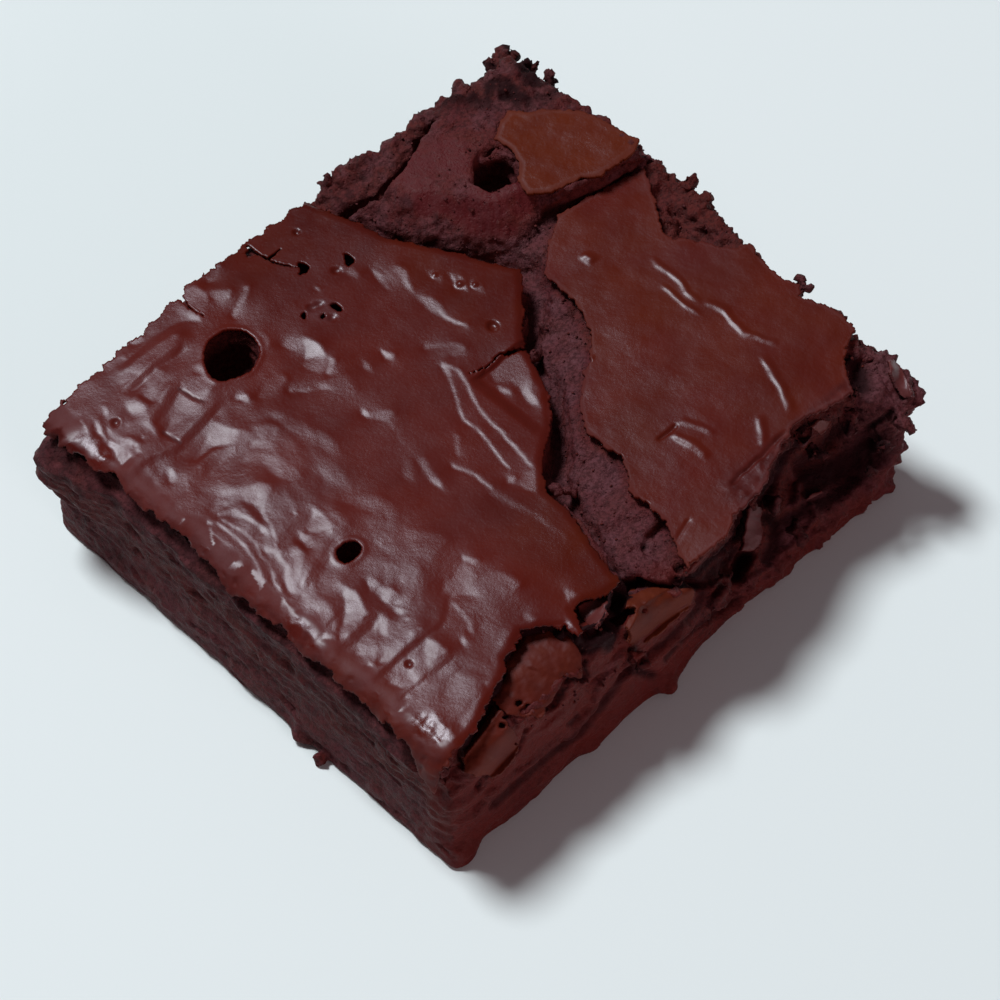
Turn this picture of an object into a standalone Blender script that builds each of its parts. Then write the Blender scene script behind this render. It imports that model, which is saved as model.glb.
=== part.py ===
"""A square of flourless brownie: one solid with its cracked top, torn sides and flat base.

Lengths are in millimetres in the shape functions, and MM turns them into Blender's metres.
Plan places are (x, y): x runs along the long side and y along the short side of the square.
"""

import bmesh
import bpy
import numpy as np
from mathutils import Matrix

MM = 0.001

# Driving dimensions of the square, in millimetres
HALF_LENGTH = 33.0
HALF_WIDTH = 30.0
LEFT_PLATE_LEVEL = 17.9
RIGHT_PLATE_LEVEL = 17.7
TOP_PLATE_LEVEL = 20.2
FISSURE_FLOOR = 15.8
CHANNEL_DEPTH = 2.6
LIP_HEIGHT = 5.0
CORNER_ROUNDING = 2.2

# Fineness of the solid
CELL = 0.62
TRIANGLES = 11200
BASE_SNAP = 0.12

# Crust plates, as seen from above; points past the rim only say that the plate runs off the edge
LEFT_PLATE = (
    (-40, -27.2), (-29.5, -27.4), (-27, -27.2), (-23, -25.5), (-19.5, -23.5), (-16, -22.3),
    (-13.5, -23.9), (-12.3, -26.4), (-10, -27.6), (-8.5, -26.8), (-6.5, -25.5), (-5, -24.9),
    (-4.4, -22), (-3, -18), (-2.5, -15.5), (-3, -12.5), (-0.5, -9.5), (2.5, -7.5), (4, -6),
    (6, -3.5), (7, -1), (7.8, 1.2), (8.6, 2.6), (11.5, 5.5), (13, 7), (14.6, 9), (13, 12),
    (11.4, 15.4), (9.4, 18.8), (7.7, 22), (7.2, 25), (5.4, 31), (5, 40), (-40, 40),
)
RIGHT_PLATE = (
    (40, 9.3), (28, 10.8), (22, 11.2), (18.6, 9.2), (16, 7), (15.5, 2), (14, -1.5), (12, -3.5),
    (7, -7), (4.9, -10), (5, -15), (2.8, -18.5), (3, -23), (1.6, -25.6), (0.6, -28.2),
    (5.5, -28.3), (8, -27.2), (12, -26.8), (17, -25), (20, -23.8), (25, -24.8), (28, -24),
    (31, -20.8), (33, -18.5), (40, -17),
)
TOP_PLATE = (
    (7.2, 28.6), (8.2, 25.6), (8.8, 22.6), (10.3, 20.2), (12.2, 18), (14.2, 15.9), (16.6, 13.3),
    (18.6, 12.2), (21.5, 12.6), (25, 11.7), (28.5, 10.9), (40, 10.5), (40, 40), (6, 40),
)
# Lower strip of the top plate beyond its back split
BACK_LEDGE = (
    (4, 27.8), (8.2, 27.7), (10.7, 25.9), (14, 26.2), (18.5, 27.9), (22, 28.6), (25, 30), (25, 40), (4, 40),
)
# The crust is gone from these patches and the crumb shows a little lower
BARE_PATCHES = (
    ((33, 10), (31.5, 7), (30, 4.5), (28.4, 3), (28.4, 1.4), (30, -0.5), (31.5, -4.5), (40, -5), (40, 10)),
    ((26.5, 27.5), (29, 22.5), (33, 21), (40, 21), (40, 40), (26, 40)),
    ((1.8, 30.5), (3, 26.5), (6, 25.5), (8, 30), (6, 40), (2, 40)),
)
# Deep line along the bottom of the main split, close to the left plate
CHANNEL = (
    (8.2, 26), (8.6, 22), (10.3, 19), (12.6, 15.4), (15.2, 11.6), (16.4, 9.6), (14.6, 6.6),
    (12.4, 5), (9.4, 3), (8.2, 0), (7, -2.6), (5, -5.6), (3.2, -8), (0.6, -10.6), (-1.6, -14),
    (-3.2, -18.6), (-4.2, -22), (-4.4, -24.6), (-2.5, -27.6), (-1, -29.5),
)
# Narrow splits: route, half width and depth
CRACKS = (
    (((-31.5, -28), (-27, -27.2), (-23, -25.5), (-19.5, -23.5), (-16, -22.3), (-13.5, -24)), 0.55, 2.4),
    (((5.8, 27.6), (8.2, 27.7), (10.7, 25.9), (14, 26.2), (18.5, 27.9), (21, 28.4)), 0.6, 2.0),
    (((7.8, 2.0), (6.5, 3.1), (3.5, 3.1), (1.9, 3.6)), 0.4, 0.6),
    (((-3, 30.5), (-2.2, 28), (-1.5, 26), (-0.3, 24.8)), 0.4, 0.9),
)
# Burst bubbles: centre, half lengths along and across, turn in degrees, depth
BUBBLES = (
    ((-13.8, 21.4), 3.35, 2.7, 18, 4.6),
    ((-21.5, -4.0), 1.3, 1.05, 0, 3.6),
    ((20.4, 18.8), 2.7, 2.35, -10, 4.2),
)
# Broken flakes that lie on the front slope: outline and thickness
FLAKES = (
    (((-20, -24), (-15.6, -22.4), (-12.4, -25), (-13, -27.4), (-15, -29.6), (-21, -29.6)), 0.8),
    (((-30.6, -29.6), (-29, -27.8), (-25.6, -27.3), (-24.4, -30.4), (-29.6, -31.6)), 0.6),
    (((-8, -28.2), (-4.6, -25.6), (-0.5, -29.6), (-2.2, -31), (-6.6, -30.6)), 0.8),
)
# Lumps standing out of the sides: place, radius and how far they stand out
LUMPS = (
    ((32.5, -25.5, 13.4), 3.2, 1.9),
    ((33.0, -22.5, 15.2), 2.6, 1.2),
    ((33.5, -25.0, 5.5), 3.4, 1.0),
    ((32.0, 27.6, 18.6), 2.4, 0.8),
    ((34.5, 1.5, 15.8), 2.0, 1.0),
    ((34.0, 10.5, 17.0), 2.6, 0.9),
    ((-33.6, 27.0, 11.0), 3.4, 1.0),
    ((-32.0, -8.0, 0.8), 1.4, 0.9),
    ((-2.4, -29.0, 1.4), 1.5, 1.3),
    ((-13.0, -29.0, 1.2), 1.6, 0.9),
    ((-30.5, -29.5, 0.8), 3.2, 1.3),
)

GRADIENT_TABLE = 256


def noise(points, size, seed):
    """Smooth noise from about -1 to 1 whose bumps are size across."""
    draw = np.random.default_rng(seed)
    order = draw.permutation(GRADIENT_TABLE)
    slopes = draw.normal(size=(GRADIENT_TABLE, 3))
    slopes /= np.linalg.norm(slopes, axis=1)[:, None]
    place = points / size
    cell = np.floor(place).astype(int)
    part = place - cell
    fade = part**3 * (part * (part * 6 - 15) + 10)
    total = np.zeros(len(points))
    for corner in np.ndindex(2, 2, 2):
        x, y, z = (cell + corner).T % GRADIENT_TABLE
        row = order[(order[(order[x] + y) % GRADIENT_TABLE] + z) % GRADIENT_TABLE]
        weight = np.where(corner, fade, 1 - fade).prod(axis=1)
        total += weight * ((part - corner) * slopes[row]).sum(axis=1)
    return total * 1.6


def rough(points, size, seed, octaves=3):
    """Noise with finer and finer bumps added."""
    return sum(noise(points, size / 2**k, seed + k) / 2**k for k in range(octaves))


def step(value, low, high):
    """0 below low, 1 above high and smooth between."""
    t = np.clip((value - low) / (high - low), 0, 1)
    return t * t * (3 - 2 * t)


def distance_to_route(plan, route):
    """Distance in plan from each point to a line of straight runs."""
    nearest = np.full(len(plan), np.inf)
    for start, end in zip(np.array(route[:-1], float), np.array(route[1:], float)):
        run = end - start
        t = np.clip(((plan - start) @ run) / (run @ run), 0, 1)
        nearest = np.minimum(nearest, np.linalg.norm(plan - start - t[:, None] * run, axis=1))
    return nearest


def depth_inside(plan, outline):
    """Distance to an outline, above zero inside it and below zero outside."""
    closed = tuple(outline) + (outline[0],)
    inside = np.zeros(len(plan), bool)
    for (x0, y0), (x1, y1) in zip(closed[:-1], closed[1:]):
        if y0 == y1:
            continue
        crosses = (plan[:, 1] < y0) != (plan[:, 1] < y1)
        inside ^= crosses & (plan[:, 0] < x0 + (plan[:, 1] - y0) * (x1 - x0) / (y1 - y0))
    return np.where(inside, 1, -1) * distance_to_route(plan, closed)


def with_height(plan, height):
    """Plan points lifted to one height, for the noise functions."""
    return np.column_stack([plan, np.full(len(plan), float(height))])


def plate_levels(x, y):
    """Heights of the left, right and top plates; the left one falls away towards its rim."""
    past = np.clip(-13 - x, 0, None)
    fall = 0.011 * np.minimum(past, 10) ** 2 + 0.22 * np.clip(past - 10, 0, None)
    left = LEFT_PLATE_LEVEL - fall - 0.5 * step(-y, 16, 30) - 0.4 * step(y, 22, 32)
    right = RIGHT_PLATE_LEVEL + 0.3 * np.sin((x - 6) / 9) - 0.6 * step(-y, 16, 28)
    far_corner = 1.6 * step(x + y, 51, 61)
    top = TOP_PLATE_LEVEL + 0.035 * (x - 20) + 0.045 * (y - 20) - 1.3 * step(-x, -14, -7) - far_corner
    return left, right, top


def with_back_ledge(plan, top):
    """The top plate's height with its back strip sunk, less so towards the far corner."""
    sunk = 2.2 - 1.1 * step(plan[:, 0], 6, 22)
    return top - sunk * step(depth_inside(plan, BACK_LEDGE), -0.4, 0.4)


def top_wall(x, inside, lumpy):
    """Height of the torn slope up to the top plate: gentle on the left, steep on the right."""
    run = 4.2 - 3.6 * step(x, 19, 25)
    foot = FISSURE_FLOOR + 0.7
    return foot + (TOP_PLATE_LEVEL + 2 - foot) * np.clip(inside / run, 0, 2) ** 0.8 + 0.4 * lumpy


def front_slope(x, y):
    """Height of the broken ground between the plates and the front rim."""
    broken = FISSURE_FLOOR - 0.1 - 0.45 * np.clip(-25 - y, 0, 9)
    torn = RIGHT_PLATE_LEVEL - 2.4 - 0.9 * np.clip(-25.5 - y, 0, 5)
    return broken + (torn - broken) * step(x, 4, 9)


def top_height(x, y):
    """Height of the top at each place."""
    plan = np.column_stack([x, y])
    lumpy = rough(with_height(plan, 0), 3.2, 11)
    channel = 1 - step(distance_to_route(plan, CHANNEL), 0.5, 1.9)
    floor = FISSURE_FLOOR + 0.6 * lumpy - CHANNEL_DEPTH * channel
    height = np.where(y < -22, np.minimum(floor, front_slope(x, y) + 0.5 * lumpy), floor)
    ragged = 0.35 * rough(with_height(plan, 9), 1.6, 21)
    left, right, top = plate_levels(x, y)
    top = np.minimum(with_back_ledge(plan, top), top_wall(x, depth_inside(plan, TOP_PLATE), lumpy))
    for outline, level in ((LEFT_PLATE, left), (RIGHT_PLATE, right), (TOP_PLATE, top)):
        share = step(depth_inside(plan, outline) + ragged, -0.7, 0.1)
        height = np.maximum(height, height + (level - height) * share)
    for outline, thickness in FLAKES:
        height = height + thickness * step(depth_inside(plan, outline), -0.3, 0.3)
    for outline in BARE_PATCHES:
        height = height + (0.6 * lumpy - 0.7) * step(depth_inside(plan, outline) + ragged, -0.3, 0.4)
    for route, half_width, depth in CRACKS:
        away = distance_to_route(plan, route)
        height = height - depth * (1 - step(away, 0.3 * half_width, 1.5 * half_width))
    for centre, along, across, turn, depth in BUBBLES:
        angle = np.radians(turn)
        dx, dy = x - centre[0], y - centre[1]
        u = (dx * np.cos(angle) + dy * np.sin(angle)) / along
        v = (dy * np.cos(angle) - dx * np.sin(angle)) / across
        height = height - depth * (1 - step(np.hypot(u, v), 0.62, 1.08))
    return height


def left_face(y, h):
    """x of the face on the left: the crust stands a little over the crumb, most at the far corner."""
    slab = 1.6 * step(y, 19, 25) * step(h, 0.38, 0.5)
    crust = 0.5 * step(h, 0.72, 0.8) * (1 - step(h, 0.9, 1.0))
    rolled_in = 1.2 * step(h, 0.9, 1.0)
    foot = 0.4 * (1 - step(h, 0.1, 0.4))
    return -HALF_LENGTH + 1.3 - slab - crust - foot + rolled_in


def right_face(y, h):
    """x of the back face on the right, which leans out a little towards the top."""
    lean = 0.5 * step(h, 0.2, 0.8)
    bulge = 1.5 * step(y, 0, 3) * (1 - step(y, 8, 11))
    bite = 1.4 * step(-y, 4, 9) * (1 - step(-y, 16, 21))
    drawn_in = 0.5 * step(y, 11, 15)
    return HALF_LENGTH + 0.4 + lean - drawn_in + (bulge - bite) * step(h, 0.4, 0.9)


def front_face(x, h):
    """y of the torn face at the front: a lip at the base, a deep hollow over it on the right
    under the plate's edge, and the crust set back on the left."""
    drawn_in = 1.2 * step(x, -3, 6)
    lip = LIP_HEIGHT / RIGHT_PLATE_LEVEL
    over_lip = step(h, 0.7 * lip, 1.5 * lip)
    hollow = 3.6 * step(x, 3, 12) * over_lip * (1 - step(x, 27.5, 31.5))
    undercut = 1.6 * step(x, 11, 19) * over_lip * (1 - step(h, 0.68, 0.88)) * (1 - step(x, 27.5, 31))
    set_back = 0.6 * step(h, 0.55, 1.0) * (1 - step(x, 2, 8))
    return -HALF_WIDTH + 1.2 + drawn_in + hollow + undercut + set_back


def back_face(x, h):
    """y of the back face on the far left; the sunk strip leans out at its left end."""
    drawn_in = 0.8 * step(-x, 8, 31) + 0.6 * step(x, 11, 17)
    bulge = 0.6 * step(x, -17, -9)
    ledge = 1.3 * step(h, 0.3, 0.9) * step(x, 3, 7) * (1 - step(x, 9, 16))
    return HALF_WIDTH + 0.1 - drawn_in + bulge + ledge


def round_corner(along, low, high):
    """How far a side draws in near its two ends."""
    gap = np.minimum(along - low, high - along)
    t = np.clip(1 - gap / CORNER_ROUNDING, 0, 1)
    return CORNER_ROUNDING * (1 - np.sqrt(np.clip(1 - 0.5 * t * t, 0, 1)))


def shape_block(share):
    """Places of the block's points from their shares (0 to 1) along x, y and z."""
    a, b, h = share.T
    plain_x = (2 * a - 1) * HALF_LENGTH
    plain_y = (2 * b - 1) * HALF_WIDTH
    draw_x = round_corner(plain_y, -HALF_WIDTH, HALF_WIDTH)
    draw_y = round_corner(plain_x, -HALF_LENGTH, HALF_LENGTH)
    x_low = left_face(plain_y, h) + draw_x
    x_high = right_face(plain_y, h) - draw_x
    y_low = front_face(plain_x, h) + draw_y
    y_high = back_face(plain_x, h) - draw_y
    x = x_low + (x_high - x_low) * a
    y = y_low + (y_high - y_low) * b
    z = h * top_height(x, y)
    places = np.column_stack([x, y, z])
    return places + side_relief(places, share)


def side_relief(places, share):
    """Crumb lumps, tears and drag marks that push the sides in and out."""
    a, b, h = share.T
    out = np.zeros_like(places)
    near_x = step(np.abs(2 * a - 1), 0.93, 1.0) * np.sign(a - 0.5)
    near_y = step(np.abs(2 * b - 1), 0.93, 1.0) * np.sign(b - 0.5)
    lying = places * (0.5, 0.5, 1.6)
    drag = rough(lying, 2.4, 31)
    crumb = rough(places, 4.5, 41)
    teeth = noise(places, 1.7, 51) * step(h, 0.75, 0.95)
    depth = 0.30 * drag + 0.40 * crumb + 0.45 * teeth
    off_base = step(places[:, 2], 0.0, 1.2)
    out[:, 0] = near_x * depth * (0.45 + 0.55 * off_base)
    out[:, 1] = near_y * depth * (0.45 + 0.55 * off_base)
    for centre, radius, height in LUMPS:
        away = np.linalg.norm(places - centre, axis=1)
        swell = height * (1 - step(away, 0.2 * radius, radius))
        out[:, 0] += swell * near_x
        out[:, 1] += swell * near_y
    return out


def block_mesh():
    """A closed box of even cells, as a bmesh of unit size from 0 to 1."""
    box = bmesh.new()
    bmesh.ops.create_cube(box, size=1.0)
    bmesh.ops.translate(box, verts=box.verts, vec=(0.5, 0.5, 0.5))
    cells = [round(2 * HALF_LENGTH / CELL), round(2 * HALF_WIDTH / CELL), round(LEFT_PLATE_LEVEL / CELL)]
    for axis, count in enumerate(cells):
        along = [e for e in box.edges if abs(e.verts[0].co[axis] - e.verts[1].co[axis]) > 0.5]
        bmesh.ops.subdivide_edges(box, edges=along, cuts=count - 1, use_grid_fill=True)
    return box


def brownie_material():
    material = bpy.data.materials.new("brownie crust")
    material.use_nodes = True
    shader = material.node_tree.nodes["Principled BSDF"]
    shader.inputs["Base Color"].default_value = (0.085, 0.020, 0.013, 1)
    shader.inputs["Roughness"].default_value = 0.45
    shader.inputs["Metallic"].default_value = 0.0
    return material


def lighten(obj, triangles):
    """Joins flat cells until about this many triangles are left, and keeps the base flat."""
    obj.data.calc_loop_triangles()
    thin = obj.modifiers.new("thin out", "DECIMATE")
    thin.ratio = triangles / len(obj.data.loop_triangles)
    graph = bpy.context.evaluated_depsgraph_get()
    light = bpy.data.meshes.new_from_object(obj.evaluated_get(graph))
    obj.modifiers.remove(thin)
    obj.data = light
    for vertex in light.vertices:
        if vertex.co.z < BASE_SNAP * MM:
            vertex.co.z = 0


def stand_at_origin(mesh):
    """Moves the mesh so that the origin is under the middle of its box."""
    places = np.array([vertex.co for vertex in mesh.vertices])
    middle = (places.min(axis=0) + places.max(axis=0)) / 2
    mesh.transform(Matrix.Translation((-middle[0], -middle[1], 0)))


def make_brownie():
    box = block_mesh()
    mesh = bpy.data.meshes.new("brownie")
    box.to_mesh(mesh)
    box.free()
    share = np.empty(len(mesh.vertices) * 3, np.float32)
    mesh.vertices.foreach_get("co", share)
    places = shape_block(share.reshape(-1, 3).astype(float))
    mesh.vertices.foreach_set("co", (places * MM).astype(np.float32).ravel())
    obj = bpy.data.objects.new("brownie", mesh)
    bpy.context.scene.collection.objects.link(obj)
    mesh.materials.append(brownie_material())
    lighten(obj, TRIANGLES)
    stand_at_origin(obj.data)
    obj.data.shade_smooth()
    obj.data.set_sharp_from_angle(angle=np.radians(50))
    return obj


for old in list(bpy.data.objects):
    bpy.data.objects.remove(old)
brownie = make_brownie()
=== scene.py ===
import math

import bpy
import numpy as np
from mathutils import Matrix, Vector
from mathutils.bvhtree import BVHTree


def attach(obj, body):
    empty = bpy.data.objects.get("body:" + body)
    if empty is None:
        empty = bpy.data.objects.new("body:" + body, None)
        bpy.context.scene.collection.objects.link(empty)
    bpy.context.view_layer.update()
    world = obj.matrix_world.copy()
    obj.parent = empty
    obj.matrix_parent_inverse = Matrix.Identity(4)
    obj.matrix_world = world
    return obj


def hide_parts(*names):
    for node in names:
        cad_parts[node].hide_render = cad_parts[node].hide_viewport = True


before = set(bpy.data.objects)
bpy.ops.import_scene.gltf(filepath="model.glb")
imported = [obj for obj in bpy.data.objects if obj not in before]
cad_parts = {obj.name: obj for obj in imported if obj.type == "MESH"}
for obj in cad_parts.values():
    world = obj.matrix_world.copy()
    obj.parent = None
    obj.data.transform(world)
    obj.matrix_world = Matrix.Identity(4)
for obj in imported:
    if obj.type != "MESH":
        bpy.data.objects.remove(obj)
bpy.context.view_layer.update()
print("frame loaded")

# Shapes are worked out in millimetres, in plan places (x, y) counted from the middle of the square
mm = 0.001
planMiddle = np.array((0.709, 1.070, 0.0))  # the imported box's middle lies here in plan places
sightSlope = np.array((0.516, 0.528))  # how far a sight line runs sideways for each millimetre of fall
towardsCamera = np.array((-sightSlope[0], -sightSlope[1], 1))
markHeight = 17  # small marks are placed where their sight lines cross this height

square = {
    "leftLevel": 18.1,
    "rightLevel": 17.9,
    "topLevel": 20.2,
    "fissureFloor": 16.0,
    "channelDepth": 1.7,
    "brokenLevel": 15.6,  # the front slopes down from here on the left
    "tornLevel": 15.4,  # and from here on the right
    "terraceFoot": 16.7,  # the upper plate's torn side rises from here
    "crust": 0.4,  # thickness of the papery crust
    "underCrust": 0.8,  # the crumb stays this far below the crust's upper face
    "undercut": 0.7,  # the crumb stands back this far under the crust's broken edges
}

plates = {
    "left": (
        (-44, -27.5), (-29.5, -27.6), (-27.1, -27.3), (-26.1, -27.0), (-25.1, -26.4), (-23.2, -25.6),
        (-21.3, -25.2), (-20.3, -24.6), (-19.6, -23.8), (-18.6, -23.6), (-17.5, -23.1), (-16.3, -22.7),
        (-15.3, -23.2), (-13.8, -24.3), (-13.0, -24.9), (-13.1, -25.6), (-12.8, -26.9), (-12.1, -26.6),
        (-11.6, -25.6), (-11.1, -24.3), (-10.4, -24.1), (-9.7, -24.3), (-8.8, -24.7), (-7.9, -25.0),
        (-6.7, -25.2), (-5.4, -25.1), (-4.9, -22), (-3.8, -18), (-3.1, -15.5), (-3.2, -12.5),
        (-0.7, -9.6), (2.4, -7.6), (4, -6),
        (6, -3.5), (7, -1), (7.8, 1.2), (8.6, 2.6), (11.5, 5.5), (13, 7), (14.6, 9), (13, 12),
        (11.4, 15.4), (9.4, 18.8), (7.7, 22), (7.2, 25), (5.4, 31), (5, 40), (-44, 40),
    ),
    "right": (
        (33.6, 9.6), (28, 10.8), (22, 11.2), (18.6, 9.2), (16, 7), (15.5, 2), (14, -1.5),
        (12, -3.5), (7, -7), (4.9, -10), (5, -15), (2.8, -18.5), (3, -23), (1.6, -25.6),
        (0.6, -28.2), (2.5, -28.2), (6, -28.4), (8, -27.2), (12, -26.8), (14, -26), (17, -24.8),
        (20, -23.6), (25, -24.6), (27.6, -25), (28.4, -23), (31, -20.8), (33.2, -20),
        (33.6, -18), (33.2, -15.5), (32.2, -13.2), (33.4, -11.9), (32.6, -10), (32.8, -8),
        (33.6, -4.6), (32, -4.4), (31, -2.6), (29.6, 0), (28.2, 1.2), (28.6, 2.7), (30, 4.7),
        (31.5, 7.2), (32.6, 9),
    ),
    "top": (
        (7.2, 28.6), (8.2, 25.6), (8.8, 22.6), (10.3, 20.2), (12.2, 18), (14.2, 15.9), (16.6, 13.3),
        (18.6, 12.2), (21.5, 12.6), (25, 11.7), (28.5, 10.9), (40, 10.5), (40, 40), (6, 40),
    ),
    "ledge": (
        (4, 27.8), (8.2, 27.7), (10.7, 25.9), (14, 26.2), (18.5, 27.9), (22, 28.6), (25, 30),
        (25, 40), (4, 40),
    ),
    "tan": (
        (23.4, 21.9), (25.2, 23.0), (27.2, 23.5), (28.5, 21.8), (30.2, 20.8), (31.8, 19.2),
        (33.1, 16.8), (33.5, 14.2), (34, 11.4), (33, 10.8), (29.4, 10.8), (27.8, 10.9),
        (26.3, 12), (24.8, 12.5), (22.8, 12.9), (20.8, 14.4), (21.3, 16.3), (22.9, 17.6),
        (23.6, 19.6),
    ),
}
barePatches = (
    ((33, 10), (31.5, 7), (30, 4.5), (28.4, 3), (28.4, 1.4), (30, -0.5), (31.5, -4.5), (40, -5), (40, 10)),
    ((26.5, 27.5), (29, 22.5), (33, 21), (40, 21), (40, 40), (26, 40)),
    ((1.8, 30.5), (3, 26.5), (6, 25.5), (8, 30), (6, 40), (2, 40)),
)
splits = (  # route, half width, depth
    (((-31.5, -28.2), (-29.5, -27.7), (-27, -27.4), (-25, -26.5), (-23, -25.7), (-21.2, -25.2),
      (-19.6, -24.1), (-17.5, -23.3), (-16.1, -22.9), (-14.6, -23.7), (-13.4, -24.9)), 0.35, 2.2),
    (((-12.5, -26.4), (-10, -27.6), (-8.5, -26.8), (-6.5, -25.4), (-5, -25.2)), 0.5, 2.4),
    (((5.8, 27.6), (8.2, 27.7), (10.7, 25.9), (14, 26.2), (18.5, 27.9), (21, 28.4)), 0.5, 2.2),
    (((-3, 30.5), (-2.2, 28), (-1.5, 26), (-0.3, 24.8)), 0.4, 1.2),
)
darkChannel = (  # the deep line of the main split, close to the left plate
    (8.2, 26), (8.6, 22), (10.3, 19), (12.6, 15.4), (15.2, 11.6), (16.4, 9.6), (14.6, 6.6),
    (12.4, 5.0), (9.4, 3.0), (8.2, 0), (7.0, -2.6), (5.0, -5.6), (3.2, -8), (0.6, -10.6),
    (-1.6, -14), (-3.2, -18.6), (-4.2, -22), (-4.4, -24.6), (-2.5, -27.6), (-1, -29.5),
)


def sunkTo(outline, level):  # from the marks' height to the level where the outline lies
    fall = markHeight - level
    return rounded([(x + fall * sightSlope[0], y + fall * sightSlope[1]) for x, y in outline])


def rounded(outline):  # cuts the corners of a closed outline twice
    for _ in range(2):
        points = np.array(outline)
        ahead = np.roll(points, -1, axis=0)
        cuts = [0.75 * points + 0.25 * ahead, 0.25 * points + 0.75 * ahead]
        outline = np.stack(cuts, axis=1).reshape(-1, 2)
    return tuple(map(tuple, outline))


holes = (  # outline, depth
    (sunkTo(((-16.5, 21.2), (-16, 22.7), (-14.7, 24.2), (-13.5, 24.9), (-11.5, 24.9), (-10.1, 23.5),
            (-10, 21.5), (-11, 20), (-12.2, 19.4), (-13.4, 19), (-14.7, 19.5), (-16.2, 20)), 18.4), 4.6),
    (sunkTo(((-22.9, -3.9), (-22.3, -3.1), (-21.4, -2.9), (-20.3, -3.3), (-20.0, -4.2), (-20.6, -5.0),
            (-21.8, -5.2), (-22.6, -4.8)), 17.8), 3.6),
    (sunkTo(((19.6, 21.2), (20.7, 22.5), (22.5, 23), (24, 23.4), (25.1, 22.5), (25.4, 20.7),
            (24.5, 20), (24, 18.7), (23.2, 18.1), (22, 18.7), (20.2, 18.9), (20, 20)), 20.2), 4.2),
)


def step(value, low, high):
    t = np.clip((value - low) / (high - low), 0, 1)
    return t * t * (3 - 2 * t)


def noise(points, size, seed):  # smooth bumps from about -1 to 1, size across
    draw = np.random.default_rng(seed)
    order = draw.permutation(256)
    slopes = draw.normal(size=(256, 3))
    slopes /= np.linalg.norm(slopes, axis=1)[:, None]
    place = points / size
    cell = np.floor(place).astype(int)
    part = place - cell
    fade = part**3 * (part * (part * 6 - 15) + 10)
    total = np.zeros(len(points))
    for corner in np.ndindex(2, 2, 2):
        x, y, z = (cell + corner).T % 256
        row = order[(order[(order[x] + y) % 256] + z) % 256]
        weight = np.where(corner, fade, 1 - fade).prod(axis=1)
        total += weight * ((part - corner) * slopes[row]).sum(axis=1)
    return total * 1.6


def rough(points, size, seed, octaves=3):  # noise with finer and finer noise added
    return sum(noise(points, size / 2**k, seed + k) / 2**k for k in range(octaves))


def creased(points, size, seed):  # 1 along thin meandering lines, falling to 0 between them
    return 1 - np.clip(np.abs(noise(points, size, seed)) * 3, 0, 1)


def atHeight(plan, height):  # plan places as points, all at one height
    return np.column_stack([plan, np.full(len(plan), float(height))])


def alongRoute(plan, route):  # nearest distance, which side it is on, and the share of the way along
    route = np.array(route, float)
    lengths = np.linalg.norm(np.diff(route, axis=0), axis=1)
    nearest = np.full(len(plan), np.inf)
    side = np.zeros(len(plan))
    share = np.zeros(len(plan))
    done = 0
    for start, end, length in zip(route[:-1], route[1:], lengths):
        run = (end - start) / length
        gap = plan - start
        t = np.clip(gap @ run, 0, length)
        away = np.linalg.norm(gap - t[:, None] * run, axis=1)
        closer = away < nearest
        nearest = np.where(closer, away, nearest)
        side = np.where(closer, run[0] * gap[:, 1] - run[1] * gap[:, 0], side)
        share = np.where(closer, (done + t) / lengths.sum(), share)
        done += length
    return nearest, side, share


def depthInside(plan, outline):  # distance to the outline, above zero inside it
    closed = tuple(outline) + (outline[0],)
    inside = np.zeros(len(plan), bool)
    for (x0, y0), (x1, y1) in zip(closed[:-1], closed[1:]):
        if y0 == y1:
            continue
        crosses = (plan[:, 1] < y0) != (plan[:, 1] < y1)
        inside ^= crosses & (plan[:, 0] < x0 + (plan[:, 1] - y0) * (x1 - x0) / (y1 - y0))
    return np.where(inside, 1, -1) * alongRoute(plan, closed)[0]


def markPlan(plan, level):  # where the sight lines through points at their levels cross the marks' height
    return plan + (level - markHeight)[:, None] * sightSlope


def near(plan, marks, reach):  # the points in the box round some marks
    low, high = np.min(marks, axis=0) - reach, np.max(marks, axis=0) + reach
    return np.flatnonzero(((plan > low) & (plan < high)).all(axis=1))


def leftLevel(x, y):  # flat in the middle, then falling steadily towards the left rim
    past = np.clip(-x - 13, 0, None)
    fall = 0.0026 * np.minimum(past, 10) ** 2 + 0.052 * np.clip(past - 10, 0, None)
    return square["leftLevel"] - fall - 0.5 * step(-y, 16, 30) - 0.4 * step(y, 22, 32)


def rightLevel(x, y):
    return square["rightLevel"] + 0.3 * np.sin((x - 6) / 9) - 0.6 * step(-y, 16, 28)


def topLevel(x, y):
    return square["topLevel"] + 0.035 * (x - 20) + 0.045 * (y - 20) - 1.3 * step(-x, -14, -7)


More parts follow.
